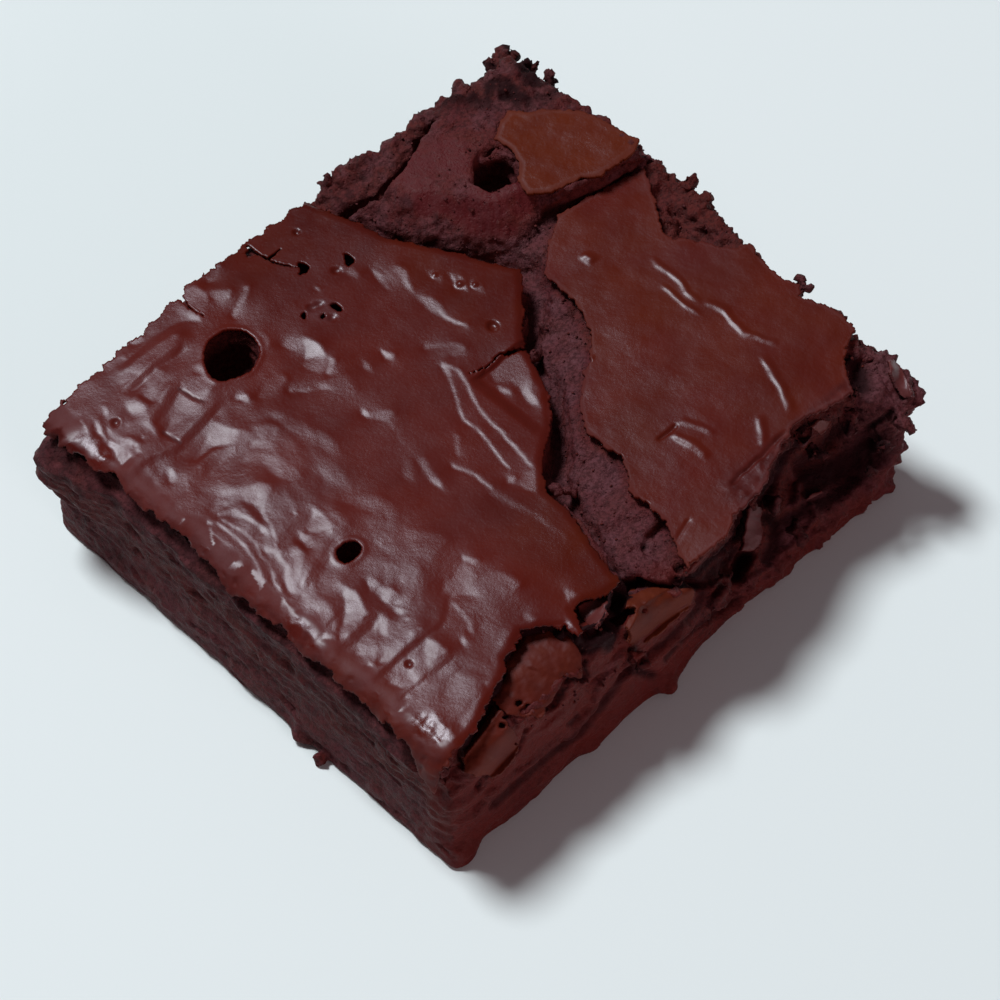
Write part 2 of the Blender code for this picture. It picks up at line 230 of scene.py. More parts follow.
def crumbTop(x, y):  # height of the crumb, below the crust where there is crust
    plan = np.column_stack([x, y])
    lumpy = rough(atHeight(plan, 0), 3.2, 11)
    ragged = 0.35 * rough(atHeight(plan, 9), 1.6, 21)
    under = square["underCrust"]
    inLeft = depthInside(plan, plates["left"]) + ragged
    inRight = depthInside(plan, plates["right"]) + ragged
    # floor of the main fissure, banked up against the right plate
    channel = 1 - step(alongRoute(plan, darkChannel)[0] + 0.3 * ragged, 0.35, 1.9)
    bank = 0.7 * step(inRight, -3, -0.4)
    floor = square["fissureFloor"] + 0.45 * lumpy + bank - square["channelDepth"] * channel
    # the front slopes down outwards, less steeply on the left
    broken = square["brokenLevel"] - 0.45 * np.clip(-25 - y, 0, 9)
    torn = square["tornLevel"] - 0.9 * np.clip(-25.5 - y, 0, 5)
    slope = broken + (torn - broken) * step(x, 4, 9)
    height = np.where(y < -22, np.minimum(floor, slope + 0.5 * lumpy), floor)
    # crumb that carries the left and right plates
    for inside, level in ((inLeft, leftLevel(x, y) - under), (inRight, rightLevel(x, y) - under)):
        share = step(inside - square["undercut"], -0.7, 0.1)
        height = np.maximum(height, height + (level - height) * share)
    # upper plate with its torn side and the lower ledge behind it
    inTop = depthInside(plan, plates["top"])
    sunk = (2.2 - 1.1 * step(x, 6, 22)) * step(depthInside(plan, plates["ledge"]), -0.4, 0.4)
    foot = square["terraceFoot"]
    run = 6.5 - 5.9 * step(x, 19, 25)
    wall = foot + (square["topLevel"] + 2 - foot) * np.clip(inTop / run, 0, 2) ** 0.8 + 0.4 * lumpy
    top = np.minimum(topLevel(x, y) - sunk, wall)
    top -= (under - 0.3) * step(depthInside(plan, plates["tan"]), -0.2, 0.5)
    height = np.maximum(height, height + (top - height) * step(inTop + ragged, -0.7, 0.1))
    for outline in barePatches:
        bare = step(depthInside(plan, outline) + ragged, -0.3, 0.4)
        height = height + (0.5 * lumpy - 0.1) * bare
    for route, halfWidth, depth in splits:
        away = alongRoute(plan, route)[0]
        height = height - depth * (1 - step(away, 0.3 * halfWidth, 1.5 * halfWidth))
    for outline, depth in holes:
        height = height - depth * step(depthInside(plan, outline) + 0.4 * ragged, -0.3, 0.6)
    return height


def readPoints(piece):
    points = np.empty(len(piece.data.vertices) * 3, np.float32)
    piece.data.vertices.foreach_get("co", points)
    return points.reshape(-1, 3).astype(float) / mm + planMiddle


def writePoints(piece, points):
    piece.data.vertices.foreach_set("co", ((points - planMiddle) * mm).astype(np.float32).ravel())
    piece.data.update()


def readNormals(piece):
    normals = np.empty(len(piece.data.vertices) * 3, np.float32)
    piece.data.vertex_normals.foreach_get("vector", normals)
    return normals.reshape(-1, 3).astype(float)


def addTone(piece, name, values):  # a value for each point, which the finish reads
    tone = piece.data.attributes.new(name, "FLOAT", "POINT")
    tone.data.foreach_set("value", values.astype(np.float32))


def addShare(piece, name, values):  # a tone kept between 0 and 1
    addTone(piece, name, np.clip(values, 0, 1))


def pickOnly(piece):
    bpy.ops.object.select_all(action="DESELECT")
    bpy.context.view_layer.objects.active = piece
    piece.select_set(True)


def finishWith(piece, kind, **settings):  # adds a modifier and applies it at once
    pickOnly(piece)
    modifier = piece.modifiers.new(kind.lower(), kind)
    for name, value in settings.items():
        setattr(modifier, name, value)
    bpy.ops.object.modifier_apply(modifier=modifier.name)


def triangleCount(piece):
    piece.data.calc_loop_triangles()
    return len(piece.data.loop_triangles)


def thinOut(piece, most):  # down to a number of triangles
    count = triangleCount(piece)
    if count > most:
        finishWith(piece, "DECIMATE", ratio=most / count)


def placeFinish(piece, finish):
    piece.data.materials.clear()
    piece.data.materials.append(finish)
    piece.data.shade_smooth()
    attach(piece, "root")
    print(piece.name, "made of", triangleCount(piece), "triangles")


# Finishes


def newFinish(name):
    finish = bpy.data.materials.new(name)
    finish.use_nodes = True
    tree = finish.node_tree
    return finish, tree, tree.nodes["Principled BSDF"]


def millimetreCoords(tree, stretch=(1, 1, 1)):
    coords = tree.nodes.new("ShaderNodeTexCoord")
    mapping = tree.nodes.new("ShaderNodeMapping")
    mapping.inputs["Scale"].default_value = [1000 * s for s in stretch]
    tree.links.new(coords.outputs["Object"], mapping.inputs["Vector"])
    return mapping.outputs["Vector"]


def noiseNode(tree, coords, scale, detail=4, roughness=0.55, distortion=0.0):
    node = tree.nodes.new("ShaderNodeTexNoise")
    node.inputs["Scale"].default_value = scale
    node.inputs["Detail"].default_value = detail
    node.inputs["Roughness"].default_value = roughness
    node.inputs["Distortion"].default_value = distortion
    tree.links.new(coords, node.inputs["Vector"])
    return node.outputs["Fac"]


def rangeNode(tree, value, low, high, toLow=0.0, toHigh=1.0):
    node = tree.nodes.new("ShaderNodeMapRange")
    node.inputs["From Min"].default_value = low
    node.inputs["From Max"].default_value = high
    node.inputs["To Min"].default_value = toLow
    node.inputs["To Max"].default_value = toHigh
    tree.links.new(value, node.inputs["Value"])
    return node.outputs["Result"]


def mixNode(tree, share, first, second, blend="MIX"):
    node = tree.nodes.new("ShaderNodeMix")
    node.data_type = "RGBA"
    node.blend_type = blend
    for socket, value in ((node.inputs[0], share), (node.inputs[6], first), (node.inputs[7], second)):
        if isinstance(value, bpy.types.NodeSocket):
            tree.links.new(value, socket)
        elif isinstance(value, tuple):
            socket.default_value = (*value, 1)
        else:
            socket.default_value = value
    return node.outputs[2]


def mathNode(tree, operation, first, second):
    node = tree.nodes.new("ShaderNodeMath")
    node.operation = operation
    for socket, value in ((node.inputs[0], first), (node.inputs[1], second)):
        if isinstance(value, bpy.types.NodeSocket):
            tree.links.new(value, socket)
        else:
            socket.default_value = value
    return node.outputs[0]


def toneNode(tree, name):
    node = tree.nodes.new("ShaderNodeAttribute")
    node.attribute_name = name
    return node.outputs["Fac"]


def bumpNode(tree, height, depth, strength=1.0, under=None):
    node = tree.nodes.new("ShaderNodeBump")
    node.inputs["Distance"].default_value = depth * mm
    node.inputs["Strength"].default_value = strength
    tree.links.new(height, node.inputs["Height"])
    if under is not None:
        tree.links.new(under, node.inputs["Normal"])
    return node.outputs["Normal"]


crustLook = {
    "brown": (0.094, 0.0060, 0.0012),
    "dark": (0.072, 0.0045, 0.0015),
    "tan": (0.104, 0.0125, 0.0010),
    "purple": (0.082, 0.0075, 0.0060),
    # the pale lavender below is partly the crust's own tint and partly painted sheen and highlights
    "paleTintAndSheen": (0.130, 0.0400, 0.0420),
    # the dark brown below paints shade in creases and pits, and also darkens zones and patches of the
    # crust's own tone
    "darkTintAndShade": (0.046, 0.0022, 0.0008),
}


def makeCrustFinish():
    finish, tree, shader = newFinish("baked crust")
    coords = millimetreCoords(tree)
    cloud = rangeNode(tree, noiseNode(tree, coords, 0.11, 3), 0.35, 0.65)
    mottle = rangeNode(tree, noiseNode(tree, coords, 0.9, 5, 0.65), 0.35, 0.7)
    speck = noiseNode(tree, coords, 6.0, 3, 0.6)
    base = mixNode(tree, cloud, crustLook["dark"], crustLook["brown"])
    base = mixNode(tree, mathNode(tree, "MULTIPLY", mottle, 0.35), base, crustLook["purple"])
    base = mixNode(tree, toneNode(tree, "tan"), base, crustLook["tan"])
    # painted sheen and highlights on the shiny folds come in through this pale lavender mix, beside the
    # crust's own pale tint
    base = mixNode(tree, toneNode(tree, "paleTintAndSheen"), base, crustLook["paleTintAndSheen"])
    base = mixNode(tree, toneNode(tree, "darkTintAndShade"), base, crustLook["darkTintAndShade"])
    base = mixNode(tree, rangeNode(tree, speck, 0.45, 0.75, 0.0, 0.35), base, crustLook["dark"])
    tree.links.new(base, shader.inputs["Base Color"])
    patch = noiseNode(tree, coords, 0.5, 4, 0.6)
    dull = mathNode(tree, "ADD", rangeNode(tree, patch, 0.3, 0.7, 0.31, 0.39), toneNode(tree, "dull"))
    tree.links.new(dull, shader.inputs["Roughness"])
    shader.inputs["Specular Tint"].default_value = (1.0, 0.88, 0.99, 1)
    shader.inputs["Specular IOR Level"].default_value = 0.26
    coat = rangeNode(tree, toneNode(tree, "dull"), 0.05, 0.25, 0.13, 0.0)
    tree.links.new(coat, shader.inputs["Coat Weight"])
    shader.inputs["Coat Roughness"].default_value = 0.25
    fine = noiseNode(tree, coords, 2.6, 6, 0.62)
    grain = noiseNode(tree, coords, 9.0, 3, 0.6)
    normal = bumpNode(tree, fine, 0.06, 0.6)
    tree.links.new(bumpNode(tree, grain, 0.015, 0.5, normal), shader.inputs["Normal"])
    return finish


crumbLook = {
    "plum": (0.092, 0.0120, 0.0150),
    "brown": (0.094, 0.0115, 0.0080),
    "grey": (0.122, 0.0390, 0.0480),
    # the near-black below paints shade in cracks, hollows and pits, and also dark flecks and patches
    "deep": (0.016, 0.0024, 0.0034),
    "skin": (0.094, 0.0090, 0.0060),
    "purple": (0.084, 0.0085, 0.0115),
}


def makeCrumbFinish():
    finish, tree, shader = newFinish("moist crumb")
    coords = millimetreCoords(tree)
    cloud = rangeNode(tree, noiseNode(tree, coords, 0.35, 4), 0.35, 0.68)
    fleck = rangeNode(tree, noiseNode(tree, coords, 2.2, 5, 0.7), 0.42, 0.72)
    base = mixNode(tree, cloud, crumbLook["plum"], crumbLook["brown"])
    base = mixNode(tree, toneNode(tree, "warm"), base, crumbLook["brown"])
    flecked = rangeNode(tree, fleck, 0.0, 1.0, 0.5, 1.0)
    # the pale grey also carries painted highlights on the front's ridges
    pale = mathNode(tree, "MULTIPLY", toneNode(tree, "pale"), flecked)
    base = mixNode(tree, pale, base, crumbLook["grey"])
    base = mixNode(tree, rangeNode(tree, fleck, 0.0, 0.4, 0.5, 0.0), base, crumbLook["deep"])
    skin = toneNode(tree, "skin")
    hue = mixNode(tree, toneNode(tree, "purple"), crumbLook["skin"], crumbLook["purple"])
    base = mixNode(tree, skin, base, hue)
    # painted shade in the front's cracks, the hollows and the splits, with darker patches
    base = mixNode(tree, toneNode(tree, "deep"), base, crumbLook["deep"])
    tree.links.new(base, shader.inputs["Base Color"])
    wet = rangeNode(tree, noiseNode(tree, coords, 1.1, 3), 0.35, 0.65, 0.46, 0.68)
    wet = mathNode(tree, "SUBTRACT", wet, mathNode(tree, "MULTIPLY", skin, 0.12))
    wet = mathNode(tree, "ADD", wet, mathNode(tree, "MULTIPLY", toneNode(tree, "deep"), 0.3))
    tree.links.new(wet, shader.inputs["Roughness"])
    shader.inputs["Specular IOR Level"].default_value = 0.14
    lumps = noiseNode(tree, coords, 2.4, 6, 0.68, 0.3)
    pores = tree.nodes.new("ShaderNodeTexVoronoi")
    pores.inputs["Scale"].default_value = 2.1
    tree.links.new(coords, pores.inputs["Vector"])
    pit = rangeNode(tree, pores.outputs["Distance"], 0.05, 0.35)
    coarse = rangeNode(tree, skin, 0.0, 1.0, 1.0, 0.3)
    normal = bumpNode(tree, mathNode(tree, "MULTIPLY", lumps, coarse), 0.38, 0.75)
    normal = bumpNode(tree, mathNode(tree, "MULTIPLY", pit, coarse), 0.14, 0.6, normal)
    tree.links.new(normal, shader.inputs["Normal"])
    return finish


crustFinish = makeCrustFinish()
crumbFinish = makeCrumbFinish()
print("finishes made")

# Crumb body: the solid's shape with pores, torn sides and tufts of crumb

body = {
    "firstVoxel": 0.34,
    "voxel": 0.25,
    "triangles": 196000,
    "topLow": (-32.1, -28.0),  # between these corners the top is redrawn
    "topHigh": (33.2, 29.6),
    "topReach": 2.6,  # where it already lies this near
    "tuftSeed": 5,
    "tuck": 0.8,  # how far the crumb draws in under the crust's roll
    "flatBelow": 0.12,  # points lower than this lie on the floor
}
tufts = (  # place, radius: torn bits that stand out of the rims
    ((33.0, 30.2, 18.0), 1.1), ((33.1, 30.7, 18.8), 0.6), ((33.1, 30.9, 19.4), 0.35),
    ((31.4, 30.6, 18.6), 0.8), ((34.4, 27.4, 18.4), 1.0), ((34.8, 25.0, 18.4), 0.8),
    ((35.6, 5.6, 16.9), 0.9), ((36.0, 6.0, 17.2), 0.5), ((35.2, 3.2, 16.6), 0.8),
    ((33.3, -11.7, 16.6), 0.8),
    ((34.2, -12.1, 16.8), 0.5),
    ((34.4, -11.2, 17.0), 0.3),
    ((33.2, -6.0, 16.6), 0.7),
    ((34.2, -1.4, 16.6), 0.6), ((33.4, -15.6, 16.2), 0.6), ((32.8, -19.6, 16.0), 0.7),
    ((33.8, -24.4, 14.4), 1.1), ((33.2, -27.2, 13.4), 1.1), ((31.0, -28.8, 12.6), 1.0),
    ((33.0, -21.8, 15.4), 0.7), ((28.4, -28.6, 11.2), 0.8), ((26.0, -29.0, 10.0), 0.5),
    ((-32.2, 28.0, 15.0), 0.6), ((-33.2, 27.0, 14.6), 0.6), ((-32.7, -11.2, 0.7), 0.8),
    ((9.0, 31.8, 16.6), 0.8), ((12.4, 31.4, 17.0), 0.6), ((18.2, 30.4, 18.2), 0.7),
    ((23.6, 30.4, 18.8), 0.6), ((-2.6, 30.6, 16.6), 0.5), ((-1.6, -12.2, 16.4), 0.8),
    ((-0.4, -13.2, 16.2), 0.7), ((8.8, 1.2, 16.0), 0.8), ((12.4, 3.0, 16.0), 0.9),
    ((0.8, -26.6, 14.6), 0.9), ((-7.4, -29.6, 11.0), 1.1), ((4.6, -28.0, 8.2), 1.3),
    ((7.0, -27.6, 7.0), 1.0), ((17.4, -27.2, 6.4), 1.0), ((15.6, -25.4, 10.5), 1.1),
    ((22.0, -25.0, 12.6), 1.0), ((27.0, -25.0, 13.6), 1.1), ((12.6, -25.4, 14.0), 0.8),
)


def addTufts(piece, seed):  # lumpy balls joined to the body before its next remesh
    draw = np.random.default_rng(seed)
    made = [piece]
    for place, radius in tufts:
        spot = (np.array(place) - planMiddle) * mm
        bpy.ops.mesh.primitive_ico_sphere_add(subdivisions=3, radius=radius * mm, location=spot)
        ball = bpy.context.object
        bpy.ops.object.transform_apply(location=True, rotation=False, scale=False)
        points = readPoints(ball)
        away = points - place
        swell = 0.8 + 0.7 * rough(points + draw.uniform(-50, 50, 3), 0.8 * radius, 61)
        writePoints(ball, np.array(place) + away * swell[:, None])
        made.append(ball)
    bpy.ops.object.select_all(action="DESELECT")
    for obj in made:
        obj.select_set(True)
    bpy.context.view_layer.objects.active = piece
    bpy.ops.object.join()


# Cracks, pits and ridges of the front: route at the marks' height, half width, push outward, darkness as
# painted shade in the cracks, pits and undercut bands (below zero it clears painted shade away), paleness
# as painted highlight on lit ridges and edges, and pale spots
frontMarks = (
    (((-11.9, -27.1), (-10, -27.7), (-8, -26.8), (-6, -25.6), (-5.2, -25.4), (-4.2, -26.1)),
      0.55, -2.2, 1.0, 0),
    (((-4.2, -26.1), (-2.8, -28.0), (-1.2, -29.6), (-0.3, -30.2), (0.2, -31)), 0.45, -1.6, 1.0, 0),
    (((-8.6, -28.1), (-6.5, -27.7)), 0.3, -1.4, 1.0, 0),
    (((-20.8, -30.6), (-19.9, -30.7), (-18.5, -30.2), (-17.2, -29.7), (-16.8, -29.3)), 0.35, -1.0, 1.0, 0),
    (((-16.8, -29.3), (-16.3, -30.1), (-15.8, -30.7), (-15.2, -30.2), (-14.2, -29)), 0.3, -0.9, 0.9, 0),
    (((-32.0, -32.6), (-31.2, -32.2), (-30.3, -32.1)), 0.22, -0.6, 0.9, 0),
    (((-26.9, -32.4), (-25.6, -31.9), (-24.6, -31.3), (-23.8, -30.8)), 0.2, -0.4, 0.6, 0),
    (((-25, -28.7), (-24.1, -28.2)), 0.25, -0.8, 0.9, 0),
    (((-24.2, -30), (-23.9, -29.3)), 0.25, -0.3, 0.5, 0),
    (((-33.8, -29.6), (-32, -29.4), (-30.9, -29.5), (-29.7, -28.2)), 0.25, -0.4, 0.5, 0),
    (((-33.7, -28.3), (-32.7, -28.8)), 0.55, 0.4, 0, 0.5),
    (((-32.6, -30.4), (-32.0, -30.9)), 0.4, 0.3, 0, 0.4),
    (((-22, -34.8), (-18.5, -34.0), (-17, -33.4), (-15.8, -32.5), (-15.1, -31.9)), 0.35, 0.4, 0, 0.3),
    (((-15.4, -32), (-13.9, -31.8), (-12.6, -31.4), (-11, -30.9)), 0.4, 0.4, 0, 0.5),
    (((-12, -32.5), (-10.8, -32.3)), 0.2, 0.2, 0, 0.3),
    (((-34, -34.6), (-31.5, -34.0), (-29, -33.8), (-26, -34.2), (-23, -34.2)), 0.3, 0.3, 0, 0.2),
    (((-32.5, -35.3), (-28, -35.1), (-24, -35.0), (-21, -35.3), (-17, -34.4), (-13, -33.3)),
      0.5, -0.6, 0.7, 0),
    (((-13, -33.3), (-10, -33.3), (-7, -33.3), (-4, -33.0), (-1.8, -32.6), (-0.4, -31.6)),
      0.45, -0.6, 0.75, 0),
    (((-12, -33.2), (-11.3, -34.2), (-11, -35.4)), 0.6, -0.5, 0.9, 0),
    (((-20.6, -33.7), (-19.4, -33.5)), 0.3, -0.3, 0.7, 0),
    (((-8.5, -34.9), (-6.5, -34.5), (-3, -34.4), (0, -34.6), (2, -35)), 0.35, -0.4, 0.75, 0),
    (((-10, -33.9), (-5, -33.9), (-2, -33.6), (0, -33.3), (2, -32.95), (3.4, -32.3)), 0.35, 0.45, 0, 0.2),
    (((0.2, -31.9), (1.6, -31.7), (2.6, -31.9), (3.4, -32.2)), 0.4, 0.5, 0, 0.2),
    (((-0.8, -33.8), (1, -34.1), (3, -34.6), (4.5, -34.8)), 0.3, 0.4, 0, 0.4),
    (((3, -33.9), (5, -34.2), (7, -34.7)), 0.3, 0.3, 0, 0.25),
    (((3.6, -32.9), (4.6, -32.4), (6.2, -31.9)), 0.75, -1.8, 1.0, 0),
    (((-1.4, -28.6), (0.6, -29.6), (2.4, -29.3), (4.5, -29.3), (6.6, -29.2), (8, -28.4), (10, -27.8)),
      0.6, -0.8, 1.0, 0),
    (((11.6, -28.2), (14, -27.3), (16, -26.4), (18, -25.5), (19.6, -25.3)), 0.8, -0.6, 0.95, 0),
    (((17.5, -29.8), (20, -30.8), (23, -31.5), (25, -31.2)), 2.4, -0.8, 1.0, 0),
    (((18, -27.6), (21, -27.8), (24.5, -27.2)), 1.0, -0.4, 0.85, 0),
    (((12, -31.8), (14.5, -32), (17, -33), (21, -33)), 0.9, -0.3, 0.9, 0),
    (((7.5, -33.6), (9.5, -32.8), (11, -31.0), (11, -30)), 0.8, -0.4, 0.9, 0),
    (((0, -30.7), (3.5, -30.6), (5.6, -30.4)), 0.9, -0.3, 0.85, 0),
    (((20.2, -24.6), (21.5, -24.3)), 0.45, -1.2, 1.0, 0),
    (((30.6, -22.0), (30, -23.6), (28.9, -25)), 1.1, -0.8, 0.95, 0),
    (((25.6, -29.3), (29.2, -29.2)), 0.4, -0.4, 0.9, 0),
    (((30.9, -28.8), (32.7, -26.8)), 0.35, -0.4, 0.85, 0),
    (((31.9, -26.6), (33.0, -25.3), (33.5, -24.6)), 0.5, 0.3, 0, 1.0),
    (((30.4, -28.9), (31.2, -27), (32.2, -24.8)), 0.25, 0.3, 0, 0.6),
    (((9.6, -34.4), (12, -34.1), (14, -33.7), (15.3, -32.8), (15.6, -32.2)), 0.35, 0.4, -0.6, 0.1),
    (((9, -34.9), (14, -35.1), (20, -35.4)), 0.3, 0.2, -0.4, 0.1),
    (((12, -29.6), (12.8, -28.9), (13.8, -28.3)), 0.35, 0.4, -0.5, 0.4),
    (((14, -30.8), (15.2, -30.3), (16.4, -29.5)), 0.35, 0.4, -0.5, 0.4),
    (((17.1, -26.8), (16.4, -28.6)), 0.35, 0.3, -0.4, 0.3),
    (((0.05, -27.7), (0.1, -27.8)), 0.45, -0.9, 1.0, 0),
    (((-0.7, -23.6), (-0.5, -23.5)), 0.35, -0.7, 0.9, 0),
)


def markFront(points, normals):  # push, painted shade, and paleness with painted highlights, of the marks on the front
    seen = markPlan(points[:, :2], points[:, 2])
    facing = step(normals @ towardsCamera, 0, 0.3) * step(-points[:, 1], 18, 20)
    push, dark, pale = np.zeros((3, len(points)))
    drawn = seen + 0.12 * np.column_stack([noise(points, 0.9, 131), noise(points, 0.9, 133)])
    for route, halfWidth, height, shadeDarkness, paleAndHighlight in frontMarks:
        spots = near(drawn, route, 2 * halfWidth)
        away = alongRoute(drawn[spots], route)[0] / halfWidth
        share = 1 - step(away, 0.3, 1.5)
        push[spots] += height * share
        if shadeDarkness < 0:
            dark[spots] *= 1 + shadeDarkness * share
        else:
            dark[spots] = np.maximum(dark[spots], shadeDarkness * share)
        pale[spots] = np.maximum(pale[spots], paleAndHighlight * share)
    return push * facing, dark * facing, pale * facing


def settleTop(piece):  # the coarse top is redrawn at full fineness
    points = readPoints(piece)
    x, y, z = points.T
    plan = points[:, :2]
    beside = np.minimum.reduce([-depthInside(plan, outline) for outline, _ in holes])
    under = np.maximum(depthInside(plan, plates["left"]), depthInside(plan, plates["right"]))
    wanted = crumbTop(x, y) - 0.8 * step(under, 1.3, 2.4) * step(beside, 0.8, 1.8)  # room under the crust
    low, high = body["topLow"], body["topHigh"]
    rim = np.minimum.reduce([x - low[0], high[0] - x, y - low[1], high[1] - y])
    lowest = np.where((x > 3) & (y < -22), 0.4, -0.3)  # the torn wall at the front right stays
    facingUp = readNormals(piece)[:, 2] > lowest
    onTop = (np.abs(z - wanted) < body["topReach"]) & (z > 8.0) & facingUp
    share = np.where(onTop, step(rim, 0.0, 1.2), 0)
    points[:, 2] = z + (wanted - z) * share
    writePoints(piece, points)


def tuckUnderRoll(piece):  # the crumb draws in where the crust rolls over the left rim
    points = readPoints(piece)
    x, y, z = points.T
    lowest = 14.4 - 5.4 * step(-y, 21.5, 27)  # the roll reaches lower towards the front
    share = step(z, lowest - 0.8, lowest + 0.6) * step(-x, 27.5, 30)
    writePoints(piece, points - readNormals(piece) * (body["tuck"] * share)[:, None])


smoothTop = (  # where the upper plate kept its skin
    (10, 27.5), (14, 28.2), (19, 29.8), (24, 29.5), (27, 27), (25.5, 24), (20, 22.6), (19.4, 19), (22, 17),
    (21, 13.6), (17.5, 12.6), (14.6, 15.2), (13.6, 18.8), (11.6, 21), (12.4, 24.4),
)


def topSkin(points):  # 1 where the upper plate keeps a smooth purple skin
    plan = points[:, :2]
    onLedge = step(depthInside(plan, plates["ledge"]), -0.8, 0)
    inside = step(depthInside(plan, plates["top"]), -0.3, 0.8) * (1 - onLedge)
    inside *= 1 - step(plan.sum(axis=1) + 2.5 * rough(points, 5, 101), 45, 48)
    inside *= 0.1 + 0.9 * step(depthInside(plan, smoothTop) + 0.5 * rough(points, 1.6, 115, 3), -0.5, 0.4)
    patchy = step(rough(points, 4.5, 103, 4), -0.25, 0.1)
    return inside * (0.35 + 0.65 * patchy)


def shownShare(points, up):  # 0 where a plate hides the crumb's top, 1 where it shows
    plan = points[:, :2]
    hidden = step(depthInside(plan, plates["left"]) - 1.6, 0, 0.6)
    hidden = np.maximum(hidden, step(depthInside(plan, plates["right"]) - 1.6, 0, 0.6)) * up
    inHole = np.maximum.reduce([step(depthInside(plan, outline), -1.0, -0.3) for outline, _ in holes])
    return 1 - hidden * (1 - inHole)


def roughenCrumb(piece):
    points = readPoints(piece)
    normals = readNormals(piece)
    x, y, z = points.T
    up = step(normals[:, 2], 0.2, 0.6)
    left = step(-normals[:, 0], 0.35, 0.7) * (1 - up)
    front = step(-normals[:, 1], 0.35, 0.7) * (1 - up)
    back = np.clip(1 - up - left - front, 0, 1)
    # left side: upright fibres and pores
    fibres = rough(points * (1, 0.28, 1.5), 1.5, 71, 4)
    pores = step(noise(points * (1, 0.55, 1.2), 1.7, 75), 0.32, 0.75)
    fine = rough(points, 0.9, 91, 2)
    push = left * (0.20 * fibres - 0.50 * pores + 0.10 * fine)
    # front: dragged lengthwise on the left, torn hollow on the right
    drags = rough(points * (0.25, 1, 1), 1.5, 81, 4)
    streaks = creased(points * (0.12, 0.8, 1), 1.7, 83)
    clots = rough(points, 2.0, 85, 4)
    torn = creased(points * (0.6, 1, 0.8), 2.6, 87)
    hollow = step(x, 3, 9) * step(-y, 20, 23)
    push += front * (1 - hollow) * (0.30 * drags + 0.22 * streaks + 0.08 * clots)
    push += front * hollow * (0.7 * torn + 0.5 * clots + 0.2 * fine)
    push += back * (0.30 * clots + 0.18 * fine - 0.35 * pores)
    # top: clots, and fine arcs in the skin of the upper plate
    smooth = topSkin(points) * up
    arcs = np.sin(np.hypot(x - 10, y - 21) * 7.5 + 2 * noise(points, 3, 89))
    arcs = arcs * step(-y, -20, -17) * step(x, 11, 13)
    push += up * (1 - 0.8 * smooth) * (0.22 * clots + 0.18 * fine) + 0.05 * smooth * arcs
    # torn rims on the right and at the back, and the far corner
    rim = step(z, 12.5, 15.5) * np.maximum(step(x, 29.5, 32), step(y, 26.5, 29) * step(x, -8, 2))
    push += rim * (0.55 * rough(points, 1.5, 93, 3) + 0.1) * (1 - smooth)
    tattered = step(np.maximum(x - 33.3, y - 30.2), 0, 0.8) * step(z, 11, 14)
    push += tattered * (0.45 * rough(points, 0.8, 117, 3) - 0.35 * step(noise(points, 0.9, 119), 0.15, 0.5))
    corner = step(x + y, 49, 53) * step(z, 12, 14)
    push += corner * (0.5 * rough(points, 2.2, 107, 3) - 0.4 * step(noise(points, 1.6, 109), 0.2, 0.6))
    push *= shownShare(points, up)
    push += markFront(points, normals)[0]
    push *= step(z, 0.05, 0.9)  # the foot stays where it stands
    push[normals[:, 2] < -0.8] = 0
    writePoints(piece, points + normals * push[:, None])


